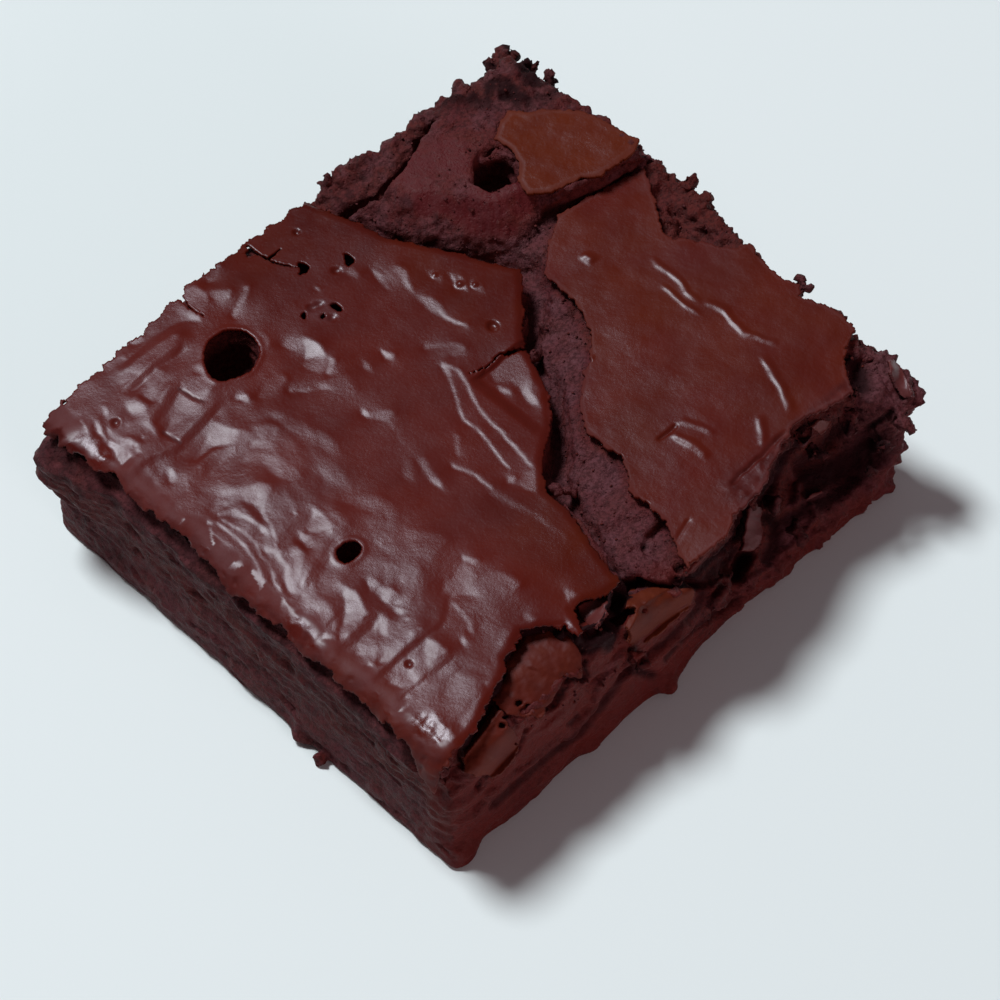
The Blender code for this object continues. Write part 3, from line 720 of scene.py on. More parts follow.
def toneCrumb(piece):
    points = readPoints(piece)
    normals = readNormals(piece)
    x, y, z = points.T
    plan = points[:, :2]
    up = step(normals[:, 2], 0.3, 0.7)
    front = step(-normals[:, 1], 0.1, 0.6)
    left = step(-normals[:, 0], 0.3, 0.7)
    low = 1 - step(z, 3, 9)
    cloudy = 0.5 + 0.5 * rough(points, 4, 95)
    onTop = step(depthInside(plan, plates["top"]), 0, 1) * up
    ledge = step(depthInside(plan, plates["ledge"]), -0.3, 0.5)
    farCorner = step(x + y, 49, 53)
    bare = np.maximum.reduce([step(depthInside(plan, outline), -0.5, 0.5) for outline in barePatches])
    smooth = topSkin(points) * step(normals[:, 2], 0.1, 0.5)
    shoulder = step(-x, 28.5, 30) * step(z, 10.5, 13)  # just below the roll of the crust
    # dark is painted shade in the front's cracks and pits, light is painted highlight on its ridges
    _, dark, light = markFront(points, normals)

    rim = step(z, 12, 15) * step(x, 31, 33)
    warm = np.maximum.reduce([front, 0.8 * ledge, 0.9 * farCorner, 0.8 * bare, rim, 0.3 * onTop])
    addShare(piece, "warm", warm * (0.4 + 0.8 * cloudy))

    fissure = step(-depthInside(plan, plates["left"]), 0, 1)
    fissure = fissure * step(-depthInside(plan, plates["right"]), 0, 1)
    fissure *= up * (1 - onTop) * step(y, -30, -26)
    pale = 0.10 + left * (0.08 + 0.32 * low) + 0.35 * shoulder
    pale += 0.1 * onTop + 0.5 * onTop * step(rough(points, 2.2, 111), 0, 0.4)
    pale += 0.4 * step(x, 27, 30) * step(-y, 21, 24)
    pale += fissure * (1 - bare) * (0.55 + 0.45 * step(rough(points, 2.5, 113), -0.1, 0.5))
    pale += 0.6 * (1 - step(np.hypot(x - 17.0, y - 19.6), 0.8, 2.0)) * onTop
    # the pale tone also carries the painted highlights of the front's ridges
    addShare(piece, "pale", np.maximum(pale, light))

    skin = step(-y, 24.0, 26.0) * (1 - step(x, 0, 4)) * (0.6 + 0.5 * rough(points * (0.3, 1, 1), 3, 97))
    skin += 0.5 * step(-y, 26, 28) * step(x, 5, 9) * (1 - step(z, 3, 6))
    addShare(piece, "skin", np.maximum(skin * (1 - light), 0.75 * smooth))
    addShare(piece, "purple", 0.8 * smooth + 0.25 * step(-y, 24, 26) * cloudy)

    # painted shade in the torn hollow under the right plate's front; the left side a little darker; darker
    # patches at the far corner and on the upper plate
    deep = step(x, 4, 8) * step(-y, 21.5, 23) * step(z, 3.5, 6) * (1 - step(x, 27, 30)) * (1 - up)
    deep = 0.35 * deep * (0.85 + 0.5 * rough(points, 3, 99)) + 0.12 * left
    deep = np.maximum(deep, 0.95 * farCorner * step(rough(points, 2.4, 105), -0.35, 0.3) * step(y, 20, 23))
    darkPatches = 0.55 * onTop * (1 - smooth) * step(rough(points, 1.8, 121), 0.05, 0.5) * step(16 - x, 0, 3)
    deep = np.maximum(deep, darkPatches)
    # painted shade, in patches, just below the roll of the crust
    deep = np.maximum(deep, 0.6 * shoulder * step(rough(points, 1.6, 123), -0.5, 0.3))
    for route, _, _ in splits[:2]:  # painted shade on the walls of the two splits at the front
        dark = np.maximum(dark, (1 - step(alongRoute(plan, route)[0], 0.7, 1.2)) * step(z, 13, 14.5))
    addShare(piece, "deep", np.maximum(deep * (1 - light), dark))


def makeCrumbBody():
    piece = bpy.data.objects.new("crumbBody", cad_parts["brownie"].data.copy())
    bpy.context.scene.collection.objects.link(piece)
    pickOnly(piece)
    bpy.ops.object.mode_set(mode="EDIT")
    bpy.ops.mesh.select_all(action="SELECT")
    bpy.ops.mesh.remove_doubles(threshold=0.001 * mm)
    bpy.ops.object.mode_set(mode="OBJECT")
    finishWith(piece, "REMESH", mode="VOXEL", voxel_size=body["firstVoxel"] * mm)
    finishWith(piece, "SMOOTH", factor=0.5, iterations=3)
    settleTop(piece)
    addTufts(piece, body["tuftSeed"])
    finishWith(piece, "REMESH", mode="VOXEL", voxel_size=body["voxel"] * mm)
    finishWith(piece, "SMOOTH", factor=0.5, iterations=1)
    tuckUnderRoll(piece)
    roughenCrumb(piece)
    thinOut(piece, body["triangles"])
    points = readPoints(piece)
    points[:, 2] = np.where(points[:, 2] < body["flatBelow"], 0, points[:, 2])
    writePoints(piece, points)
    toneCrumb(piece)
    placeFinish(piece, crumbFinish)
    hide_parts("brownie")


makeCrumbBody()

# Crust sheets


def cutSheet(name, sheet, trim):  # a grid over the sheet's box, cut where trim(plan) falls below zero
    cell = sheet["cell"]
    low, high = np.array(sheet["low"], float), np.array(sheet["high"], float)
    counts = np.ceil((high - low) / cell).astype(int)
    bpy.ops.object.select_all(action="DESELECT")
    bpy.ops.mesh.primitive_grid_add(
        x_subdivisions=int(counts[0]), y_subdivisions=int(counts[1]), size=1, location=(0, 0, 0)
    )
    piece = bpy.context.object
    piece.name = name
    piece.data.name = name
    unit = (readPoints(piece) - planMiddle) * mm
    plan = low + (unit[:, :2] + 0.5) * (high - low)
    writePoints(piece, atHeight(plan, 0))
    corners = np.empty(len(piece.data.polygons) * 4, int)
    piece.data.polygons.foreach_get("vertices", corners)
    spare = trim(plan[corners.reshape(-1, 4)].mean(axis=1)) < 0
    piece.data.polygons.foreach_set("select", spare)
    bpy.context.tool_settings.mesh_select_mode = (False, False, True)
    bpy.ops.object.mode_set(mode="EDIT")
    bpy.ops.mesh.delete(type="FACE")
    bpy.ops.object.mode_set(mode="OBJECT")
    points = readPoints(piece)
    plan = points[:, :2]
    nudge = 0.02
    for _ in range(3):  # the corners past the edge come back onto it
        depth = trim(plan)
        slope = np.column_stack([trim(plan + (nudge, 0)) - depth, trim(plan + (0, nudge)) - depth]) / nudge
        steep = np.clip((slope**2).sum(axis=1), 0.3, None)
        move = np.where(depth < 0, -depth / steep, 0)
        plan = plan + np.clip(slope * move[:, None], -0.6 * cell, 0.6 * cell)
    points[:, :2] = plan
    writePoints(piece, points)
    return piece


def raggedPlan(plan, amount, seed):  # places pushed about, so that an outline tested on them frays
    raised = atHeight(plan, 3.3)
    push = np.column_stack([rough(raised, 1.5, seed), rough(raised, 1.5, seed + 7)])
    push += 0.5 * np.column_stack([rough(raised, 0.55, seed + 3, 2), rough(raised, 0.55, seed + 13, 2)])
    return plan + amount * push


def ridgeRelief(plan, ridges):  # long folds: lit flank towards the left, far flank towards the right
    total = np.zeros(len(plan))
    for route, litWidth, farWidth, slope in ridges:
        if route[0][1] > route[-1][1]:
            route = route[::-1]
        spots = near(plan, route, max(litWidth, farWidth))
        away, side, share = alongRoute(plan[spots], route)
        width = np.where(side > 0, litWidth, farWidth)
        taper = step(share, 0, 0.2) * (1 - step(share, 0.8, 1))
        total[spots] += slope * litWidth / 1.3 * taper * (1 - step(away, 0, width))
    return total


def swellRelief(plan, swells):  # low wedges: a lit slope rising to the right, then a softer fall
    total = np.zeros(len(plan))
    for centre, along, across, slope in swells:
        spots = near(plan, (centre, centre), 2.2 * max(along, across))
        u, v = ((plan[spots] - centre) / (along, across)).T
        way = np.clip((u + 1) / 1.6, 0, 1)
        rise = 0.5 * (way + step(way, 0, 1)) * (1 - step(u, 0.4, 2.1))
        total[spots] += 1.6 * slope * along * rise * (1 - step(np.abs(v), 0.4, 1.2))
    return total


def grooveRelief(plan, grooves):
    total = np.zeros(len(plan))
    for route, width, depth in grooves:
        spots = near(plan, route, 3 * width)
        away, _, share = alongRoute(plan[spots], route)
        taper = step(share, 0, 0.12) * (1 - step(share, 0.88, 1))
        total[spots] -= depth * taper * np.exp(-((away / width) ** 2))
    return total


leftSheet = {
    "low": (-40, -29),
    "high": (16, 32),
    "cell": 0.18,
    "triangles": 196000,
    "bendAt": -29.8,  # the roll over the left rim begins here
    "roll": 3.0,  # its radius
    "lean": 0.05,  # the crust's slope in radians where it begins
    "steepest": 1.35,  # and where the rim hangs down
    "backRim": 31.0,
    "across": -0.03,  # slope of the shiny facets from front to back
    "hold": 0.06,  # how firmly the crust keeps its own slope between the facets
    "anchor": 6e-5,  # and its own height
    "rounds": 300,  # of the solver that turns slopes into heights
}
# Shiny facets: outline at the marks' height, slope towards the right, softness of the outline
leftFacets = (
    (((-32, 23.6), (-31.6, 24.4), (-31.2, 25.3), (-30.9, 25.2), (-31, 24.3), (-30.9, 23.2), (-31.9, 23)),
      0.3, 0.15),
    (((-31.7, 22.3), (-31.2, 22.1), (-30.8, 21), (-31.4, 20.9), (-32.1, 20.4)), 0.26, 0.15),
    (((-29.1, 23), (-29, 24.2), (-28.6, 24.9), (-28.1, 25), (-28.4, 24.2), (-28.8, 23.2), (-28.9, 22.2)),
      0.3, 0.15),
    (((-29.9, 19.5), (-29.4, 21.2), (-29.2, 22.3), (-28.7, 22.3), (-28.5, 21.5), (-27.8, 21.8),
      (-27.2, 21.4), (-27.4, 20.7), (-28.2, 20.3), (-28.6, 19.4)), 0.31, 0.2),
    (((-28.2, 23.8), (-27.8, 23.7), (-27.9, 23.1), (-28.3, 23)), 0.26, 0.15),
    (((-27.2, 23.9), (-26.7, 23.8), (-26.7, 23.4), (-27.2, 23.3)), 0.27, 0.15),
    (((-27.5, 21.8), (-26.3, 22.6), (-25.3, 22.6), (-24.8, 24.4), (-23.6, 24.4), (-23.4, 23.2),
      (-24.2, 22), (-24.6, 20.6), (-25.2, 19.6), (-25.3, 21.2), (-26.6, 21.3)), 0.2, 0.35),
    (((-25.1, 24.2), (-23.7, 24.3), (-23.6, 23.2), (-24.4, 22.3)), 0.29, 0.3),
    (((-22.8, 24.1), (-21.5, 25.1), (-19.7, 25.7), (-19.5, 24.9), (-21, 24.2), (-22.6, 23.2)), 0.21, 0.35),
    (((-24.3, 19.2), (-22.6, 20.1), (-21.2, 20.6), (-19.9, 21.2), (-19.4, 19.6), (-20.6, 19),
      (-21.4, 19.3), (-23.8, 18.6), (-24.1, 17.8)), 0.2, 0.2),
    (((-21.2, 20.3), (-19.9, 20.6), (-19.5, 19.6), (-20.6, 19.2), (-21.3, 19.5)), 0.25, 0.2),
    (((-23.5, 26.8), (-22.3, 27.4), (-20.5, 27.7), (-18, 27.6), (-15.6, 27.5), (-15.4, 27.1), (-17, 26.9),
      (-20, 26.7), (-22, 26.4)), 0.21, 0.3),
    (((-23.6, 29.2), (-22, 29.1), (-21, 28.8), (-20.8, 29.3), (-22.5, 29.6)), 0.17, 0.2),
    (((-19.4, 30.1), (-18, 30), (-17.9, 29.6), (-19.2, 29.6)), 0.26, 0.15),
    (((-19, 29.6), (-15, 29.5), (-13.2, 29.7), (-12.3, 30), (-12.3, 28.4), (-12.2, 27.6), (-12.5, 27.2),
      (-13.2, 27.9), (-14, 28.7), (-16, 29)), 0.2, 0.2),
    (((-13.1, 28.7), (-12.3, 28.6), (-12.3, 27.4), (-12.7, 27.3), (-13.1, 27.9)), 0.29, 0.2),
    (((-12, 31), (-11, 31.3), (-10.6, 30.8), (-10, 30.6), (-9.8, 29.2), (-10.2, 28.5), (-11.2, 28.1),
      (-11.8, 27.7)), 0.17, 0.15),
    (((-9.9, 28.9), (-9.2, 28.9), (-8.6, 28.3), (-7.8, 27.6), (-8.4, 27.2), (-9.6, 27.5)), 0.18, 0.2),
    (((-9.1, 27.6), (-8, 27.7), (-8.5, 27.2)), 0.29, 0.15),
    (((-10.4, 24.2), (-9.5, 23.2), (-9.2, 22.2), (-9.2, 21.2), (-10.1, 21.2), (-10, 23)), 0.13, 0.15),
    (((-11.2, 20.4), (-10.2, 20.9), (-9.2, 21), (-9.3, 20.4), (-10.6, 19.8)), 0.14, 0.15),
    (((-17.2, 22.6), (-16.8, 23), (-16.3, 23.1), (-16.3, 22.5), (-16.9, 22.1)), 0.2, 0.15),
    (((-19.6, 20.1), (-19.4, 22), (-17.4, 22.3), (-16.9, 20.1)), 0.13, 0.3),
    (((-19.4, 20.7), (-17.4, 20.9), (-17.3, 20.2), (-19.2, 20.2)), 0.26, 0.15),
    (((-16.6, 17.6), (-15.8, 17.4), (-15.4, 17.2), (-15.5, 16.6), (-16.2, 16.5)), 0.3, 0.15),
    (((-8.8, 19.4), (-7.4, 18.9), (-6.4, 18.2), (-6.1, 16.4), (-6.5, 15), (-7.2, 15.4), (-8.3, 16.3),
      (-7.6, 17.2), (-8.5, 18.2)), 0.18, 0.15),
    (((-6.9, 18), (-6.3, 17.6), (-6.2, 16), (-6.5, 15), (-7.3, 15.6), (-8.3, 16.3), (-7.4, 17)),
      0.31, 0.15),
    (((-9, 15.8), (-8.2, 16.1), (-7.2, 15.4), (-6.6, 14.9), (-7.2, 14.4), (-8.2, 13.9), (-8.7, 14.6)),
      0.14, 0.15),
    (((-8.1, 13.5), (-6.4, 14.4), (-6.2, 14.1), (-7.9, 13)), 0.3, 0.12),
    (((-10.2, 12.9), (-9, 12.8), (-8, 12.3), (-8.6, 11.3), (-9.3, 11.8)), 0.26, 0.15),
    (((-9, 12.7), (-7, 11.8), (-7.5, 10), (-8.6, 11.3)), 0.1, 0.4),
    (((-4.9, 11.6), (-4.1, 11.9), (-4.3, 10.9), (-4.8, 10.8)), 0.17, 0.15),
    (((-15.4, 13.5), (-14.8, 13), (-14.1, 10), (-13.5, 7.5), (-13.8, 5.8), (-14.5, 6.5), (-15, 9.5),
      (-15.6, 11.5)), 0.13, 0.5),
    (((-24.4, 15), (-23, 15.4), (-21, 16.2), (-19.8, 16.7), (-19.5, 15.6), (-18.8, 14.2), (-18.1, 12.9),
      (-18, 12.2), (-18.9, 12.8), (-20, 13.3), (-21.2, 14.2), (-22.4, 15)), 0.27, 0.2),
    (((-18.6, 13.4), (-17.8, 13.4), (-16.5, 12.7), (-15.9, 11.6), (-16.8, 11.4), (-18.2, 12)), 0.17, 0.35),
    (((-21.5, 11.4), (-20, 11.6), (-19.3, 11), (-18.5, 9.5), (-18.2, 7.5), (-18.5, 6), (-19.8, 6.5),
      (-20.1, 8), (-19.9, 10), (-20.7, 10.8)), 0.14, 0.45),
    (((-28, 14.5), (-27.5, 15.2), (-26.6, 15.7), (-27.1, 14.8), (-27.7, 14.4)), 0.3, 0.15),
    (((-30.3, 14.2), (-29.4, 15.6), (-27, 17), (-26, 16.6), (-28.6, 15.5), (-29.7, 14.2)), 0.12, 0.3),
    (((-28.9, 8.1), (-28.5, 8.5), (-28.2, 8.1), (-28.6, 7.7)), 0.3, 0.15),
    (((-26.6, 7), (-26, 7.6), (-25.6, 7.4), (-25.4, 6), (-25.2, 4), (-25.1, 3.2), (-25.6, 3.2),
      (-25.7, 5), (-25.9, 6.4)), 0.27, 0.15),
    (((-27.6, 9.1), (-26, 9.7), (-24.5, 9.4), (-22.9, 8.6), (-22, 8.2), (-21.4, 7.2), (-22, 6.6),
      (-22.8, 6.4), (-23.4, 5.8), (-23.9, 5.3), (-24, 6.6), (-24.6, 8), (-25.5, 8.4), (-26.5, 8.8)),
      0.2, 0.2),
    (((-24, 6.8), (-22.8, 7), (-22.2, 6.8), (-23, 6.3), (-23.8, 5.3)), 0.29, 0.15),
    (((-31, 3), (-30, 3), (-29.3, 2.6), (-29.7, 2), (-30.8, 2.3)), 0.2, 0.2),
    (((-30.6, -1.2), (-29.9, -0.2), (-29.8, 0.9), (-29.3, 1.2), (-29.1, 0.2), (-29.3, -0.8), (-29.9, -1)),
      0.29, 0.15),
    (((-28.6, -3.6), (-28.2, -2.4), (-27.2, -1.3), (-26.2, -0.6), (-25.2, -0.1), (-24.5, 0), (-24.5, -1),
      (-25.6, -2), (-26.8, -3), (-28, -3.9)), 0.27, 0.2),
    (((-27, -1), (-26.8, 0.6), (-26.4, 1.2), (-25.8, 1.3), (-25.6, 0.8), (-26.2, 0.4), (-26.5, -0.8)),
      0.22, 0.2),
    (((-23.9, -0.7), (-23.6, 0.8), (-23.1, 1.1), (-22.8, 0.3), (-22.4, 0), (-23.2, -0.8)), 0.25, 0.2),
    (((-22.5, 0.6), (-21.5, 1.3), (-20.1, 2.4), (-20.1, 1), (-20.3, -0.6), (-20.9, -1.1), (-21.4, -0.4),
      (-22.4, 0.1)), 0.27, 0.2),
    (((-20, 0.4), (-19.2, 0.9), (-19.1, -1.5), (-19.7, -1.3)), 0.17, 0.35),
    (((-32.3, -7), (-31.2, -4.4), (-29.8, -3.4), (-29.5, -5), (-30.4, -7.4), (-31.6, -7.8)), 0.17, 0.35),
    (((-29.8, -5.2), (-28, -4.5), (-26.3, -4.1), (-27, -5.4), (-26.9, -6.6), (-27.4, -8.2), (-28.6, -8.2),
      (-28.2, -6.4), (-28.8, -5.7)), 0.2, 0.35),
    (((-28.9, -10.8), (-28.2, -10.2), (-27.3, -9.7), (-26.4, -8.9), (-25.6, -8.1), (-25.2, -7.1),
      (-24.6, -7.1), (-24, -7.9), (-24.4, -8.8), (-24.8, -9.8), (-25, -10.5), (-26.2, -10.4),
      (-27.2, -10.5), (-28, -10.9)), 0.3, 0.18),
    (((-28.5, -9.6), (-27.7, -8.9), (-28.2, -8.9)), 0.27, 0.15),
    (((-30.1, -9.4), (-29.5, -9), (-29.1, -9.6), (-28.8, -10.4), (-29.4, -10.1)), 0.26, 0.15),
    (((-23.1, -8.8), (-22.7, -7.9), (-22, -7.2), (-21.7, -8), (-21.6, -8.8)), 0.27, 0.12),
    (((-22.9, -9.8), (-21.3, -9.9), (-21.4, -10.9), (-21.8, -11.2), (-22.7, -11.3), (-23, -10.6)),
      0.29, 0.12),
    (((-23, -12.5), (-22.9, -11.8), (-22.5, -11.9), (-22, -12.8)), 0.26, 0.12),
    (((-28.9, -13.1), (-28.2, -12.6), (-27, -12.4), (-26.3, -12.7), (-27.2, -13.2), (-28.3, -13.5)),
      0.2, 0.2),
    (((-28.1, -14.1), (-27.4, -13.4), (-26.8, -13.6), (-27.1, -14.3)), 0.21, 0.2),
    (((-25.4, -12.3), (-24.4, -11.6), (-23.9, -12.2), (-24.6, -12.9), (-25, -13.3), (-25.2, -13.9),
      (-25.7, -13.2)), 0.26, 0.2),
    (((-28, -15.3), (-27, -14.7), (-25.2, -14.4), (-24.3, -14.6), (-22.5, -15.1), (-22.5, -15.4),
      (-24.4, -15.5), (-26.4, -15.7), (-27.4, -15.8)), 0.29, 0.15),
    (((-27.8, -14.6), (-24, -13.6), (-22.4, -14), (-22.4, -14.8), (-25, -14.5)), 0.14, 0.3),
    (((-28.9, -17.4), (-28.2, -17.6), (-27, -17.9), (-26, -17.7), (-24.5, -17.2), (-22.8, -16.7),
      (-22.7, -17.6), (-22.7, -19.1), (-23.4, -18.7), (-24.4, -18.5), (-25.8, -19), (-27.2, -19.1),
      (-28.3, -18.8)), 0.27, 0.18),
    (((-21.1, -19.7), (-20.8, -18.9), (-20.2, -18.6), (-20.4, -19.4)), 0.27, 0.2),
    (((-30.6, -20.4), (-26, -20.3), (-24, -20), (-23.1, -20.1), (-23.1, -20.9), (-25, -20.9),
      (-30.4, -20.8)), 0.2, 0.2),
    (((-29.1, -20.1), (-28.9, -19.7), (-28.3, -19.7), (-28.4, -20.1)), 0.26, 0.15),
    (((-29.5, -23.1), (-28.7, -22.9), (-28.1, -22.5), (-28.3, -23.6), (-28.8, -24.2), (-28.7, -25.3),
      (-29, -26.4), (-29.5, -26.4), (-30, -25.5), (-29.6, -24.6)), 0.3, 0.15),
    (((-31.2, -23.5), (-30.2, -23), (-30.1, -25.2), (-30.8, -24.4)), 0.18, 0.25),
    (((-26.4, -22.6), (-25, -21.4), (-23.4, -21.6), (-23, -23), (-23.8, -24.2), (-25.6, -24.2)),
      0.16, 0.5),
    (((-27.4, -25.4), (-25, -25), (-23, -24.7), (-22.4, -24.2), (-22, -24.9), (-24, -25.2), (-26, -26),
      (-27.6, -26.3)), 0.18, 0.2),
    (((-22.9, -24.8), (-22.5, -24.1), (-22, -24.8)), 0.29, 0.12),
    (((-17.2, 5.4), (-15.1, 5.3), (-15.3, 4), (-15.6, 2.5), (-16, 1.5), (-16.6, 2.2), (-16.7, 3.6)),
      0.12, 0.5),
    (((-17.6, 1), (-16.6, 0.6), (-15, -1.6), (-14.7, -3), (-15.3, -4.3), (-16, -3.8), (-16.6, -1.8)),
      0.14, 0.5),
    (((-8.9, 7.5), (-8.4, 7.8), (-8.3, 7), (-7.6, 6.4), (-6.8, 5.7), (-6.6, 5.1), (-7.4, 5), (-7.7, 4),
      (-8, 5.2), (-8.6, 6.3)), 0.17, 0.15),
    (((-9, 7.4), (-8.4, 7.8), (-8.4, 6.9), (-8.8, 6.4)), 0.29, 0.15),
    (((-9.7, -5.1), (-9.2, -4.2), (-8.9, -2.5), (-8.4, -1), (-9, -0.7), (-9.4, -2), (-9.8, -3.3)),
      0.17, 0.25),
    (((-9.8, -5), (-9.3, -4.3), (-9.3, -3.2), (-9.7, -3.3)), 0.26, 0.15),
    (((-11.3, -1.3), (-10.4, -0.2), (-9.6, -0.2), (-10.2, -1.2), (-11, -2)), 0.1, 0.4),
    (((-22, -6), (-19, -6), (-15, -7.5), (-14, -9.4), (-17.5, -9.6), (-19, -10.9), (-20.6, -11)),
      0.13, 0.8),
    (((-20.2, -9.4), (-19, -9.6), (-17.8, -9.4), (-18, -10.4), (-19, -10.9), (-20.2, -11)), 0.17, 0.35),
    (((-14.4, -12.6), (-13.9, -11.9), (-13.6, -12.8), (-13.3, -13.7), (-13.9, -13.3)), 0.27, 0.15),
    (((-18.3, -13.8), (-17, -13.1), (-15.8, -13.1), (-14.2, -12.8), (-14.6, -14.6), (-15.5, -15.2),
      (-14.4, -15.5), (-13.2, -15.7), (-12.5, -16.6), (-12.4, -18.4), (-13.2, -18.3), (-13.4, -17.4),
      (-14, -16.9), (-15.2, -16.7), (-16.3, -16.3), (-16.9, -15.2), (-17.7, -14.2)), 0.17, 0.3),
    (((-16.7, -15.3), (-15.6, -15.6), (-15.2, -16.3), (-16.1, -16.3)), 0.25, 0.2),
    (((-18.8, -19.4), (-17.6, -19.2), (-16.9, -21.5), (-18, -21.8)), 0.12, 0.5),
    (((-14.8, -21.2), (-14.2, -21), (-14.2, -22.2), (-14.9, -22.4)), 0.16, 0.25),
    (((-9.7, -21.5), (-9.3, -22.2), (-9.3, -23.6), (-10.9, -23.8), (-10.3, -22.6)), 0.17, 0.2),
    (((4, 2.4), (5.8, 3), (6.8, 2.6), (7.8, 1.8), (7.3, 0.4), (6.6, -0.6), (6, -1.4), (5, -1.8),
      (4.7, -1), (4.6, 0.8), (3.6, 1.2)), 0.14, 0.3),
    (((4, -3.4), (4.5, -3.9), (5, -3), (5.2, -2), (6.1, -1.2), (5.8, -0.7), (4.8, -0.9), (4.3, -1.9)),
      0.26, 0.25),
    (((3, 0.4), (3.4, 0.6), (3.9, -0.4), (3.6, -0.9), (3.1, -0.4)), 0.26, 0.15),
    (((4.4, 20.5), (4.8, 19.6), (4.9, 18.7), (6, 18.4), (6.7, 18.4), (6.6, 17.2), (6, 16.2), (5.5, 15),
      (5.2, 15.6), (5.7, 17), (5.8, 17.9), (4.7, 18), (4.2, 17.6), (4.1, 16.8), (3.8, 17), (4, 18.6)),
      0.2, 0.12),
    (((5.3, 14.8), (6.2, 13.2), (6.1, 11.6), (5.8, 10.2), (5.8, 9.2), (6.2, 8), (5.6, 8.7), (5.2, 9.8),
      (5.1, 11.2), (4.9, 12.6)), 0.18, 0.2),
    (((8, 15.8), (8.7, 15.4), (8.8, 14.6), (8.3, 13.8), (8.1, 14.8)), 0.17, 0.2),
    (((9.1, 13.1), (9.6, 14.1), (9.9, 13.8), (9.5, 13)), 0.26, 0.12),
    (((8.6, 12.4), (9.4, 12.6), (10.2, 13.1), (10, 12.4), (9.4, 11.5), (9, 11.8)), 0.31, 0.12),
    (((9.9, 11.6), (10.6, 11.9), (10.9, 11.2), (10.4, 10.1), (10, 10.7)), 0.17, 0.2),
    (((-2.6, 10.5), (-2.1, 12), (-1.8, 11.1), (-1.5, 10.4)), 0.3, 0.12),
    (((2.1, 21.7), (3.2, 21.6), (3, 20.5), (2.5, 20.5)), 0.16, 0.2),
    (((-4.6, -8.6), (-3.9, -8.1), (-3.5, -8.8), (-4.1, -9.1)), 0.25, 0.15),
    (((-4.1, -9.3), (-1, -9.6), (-2.4, -11.8), (-3.2, -12.2)), 0.16, 0.2),
)
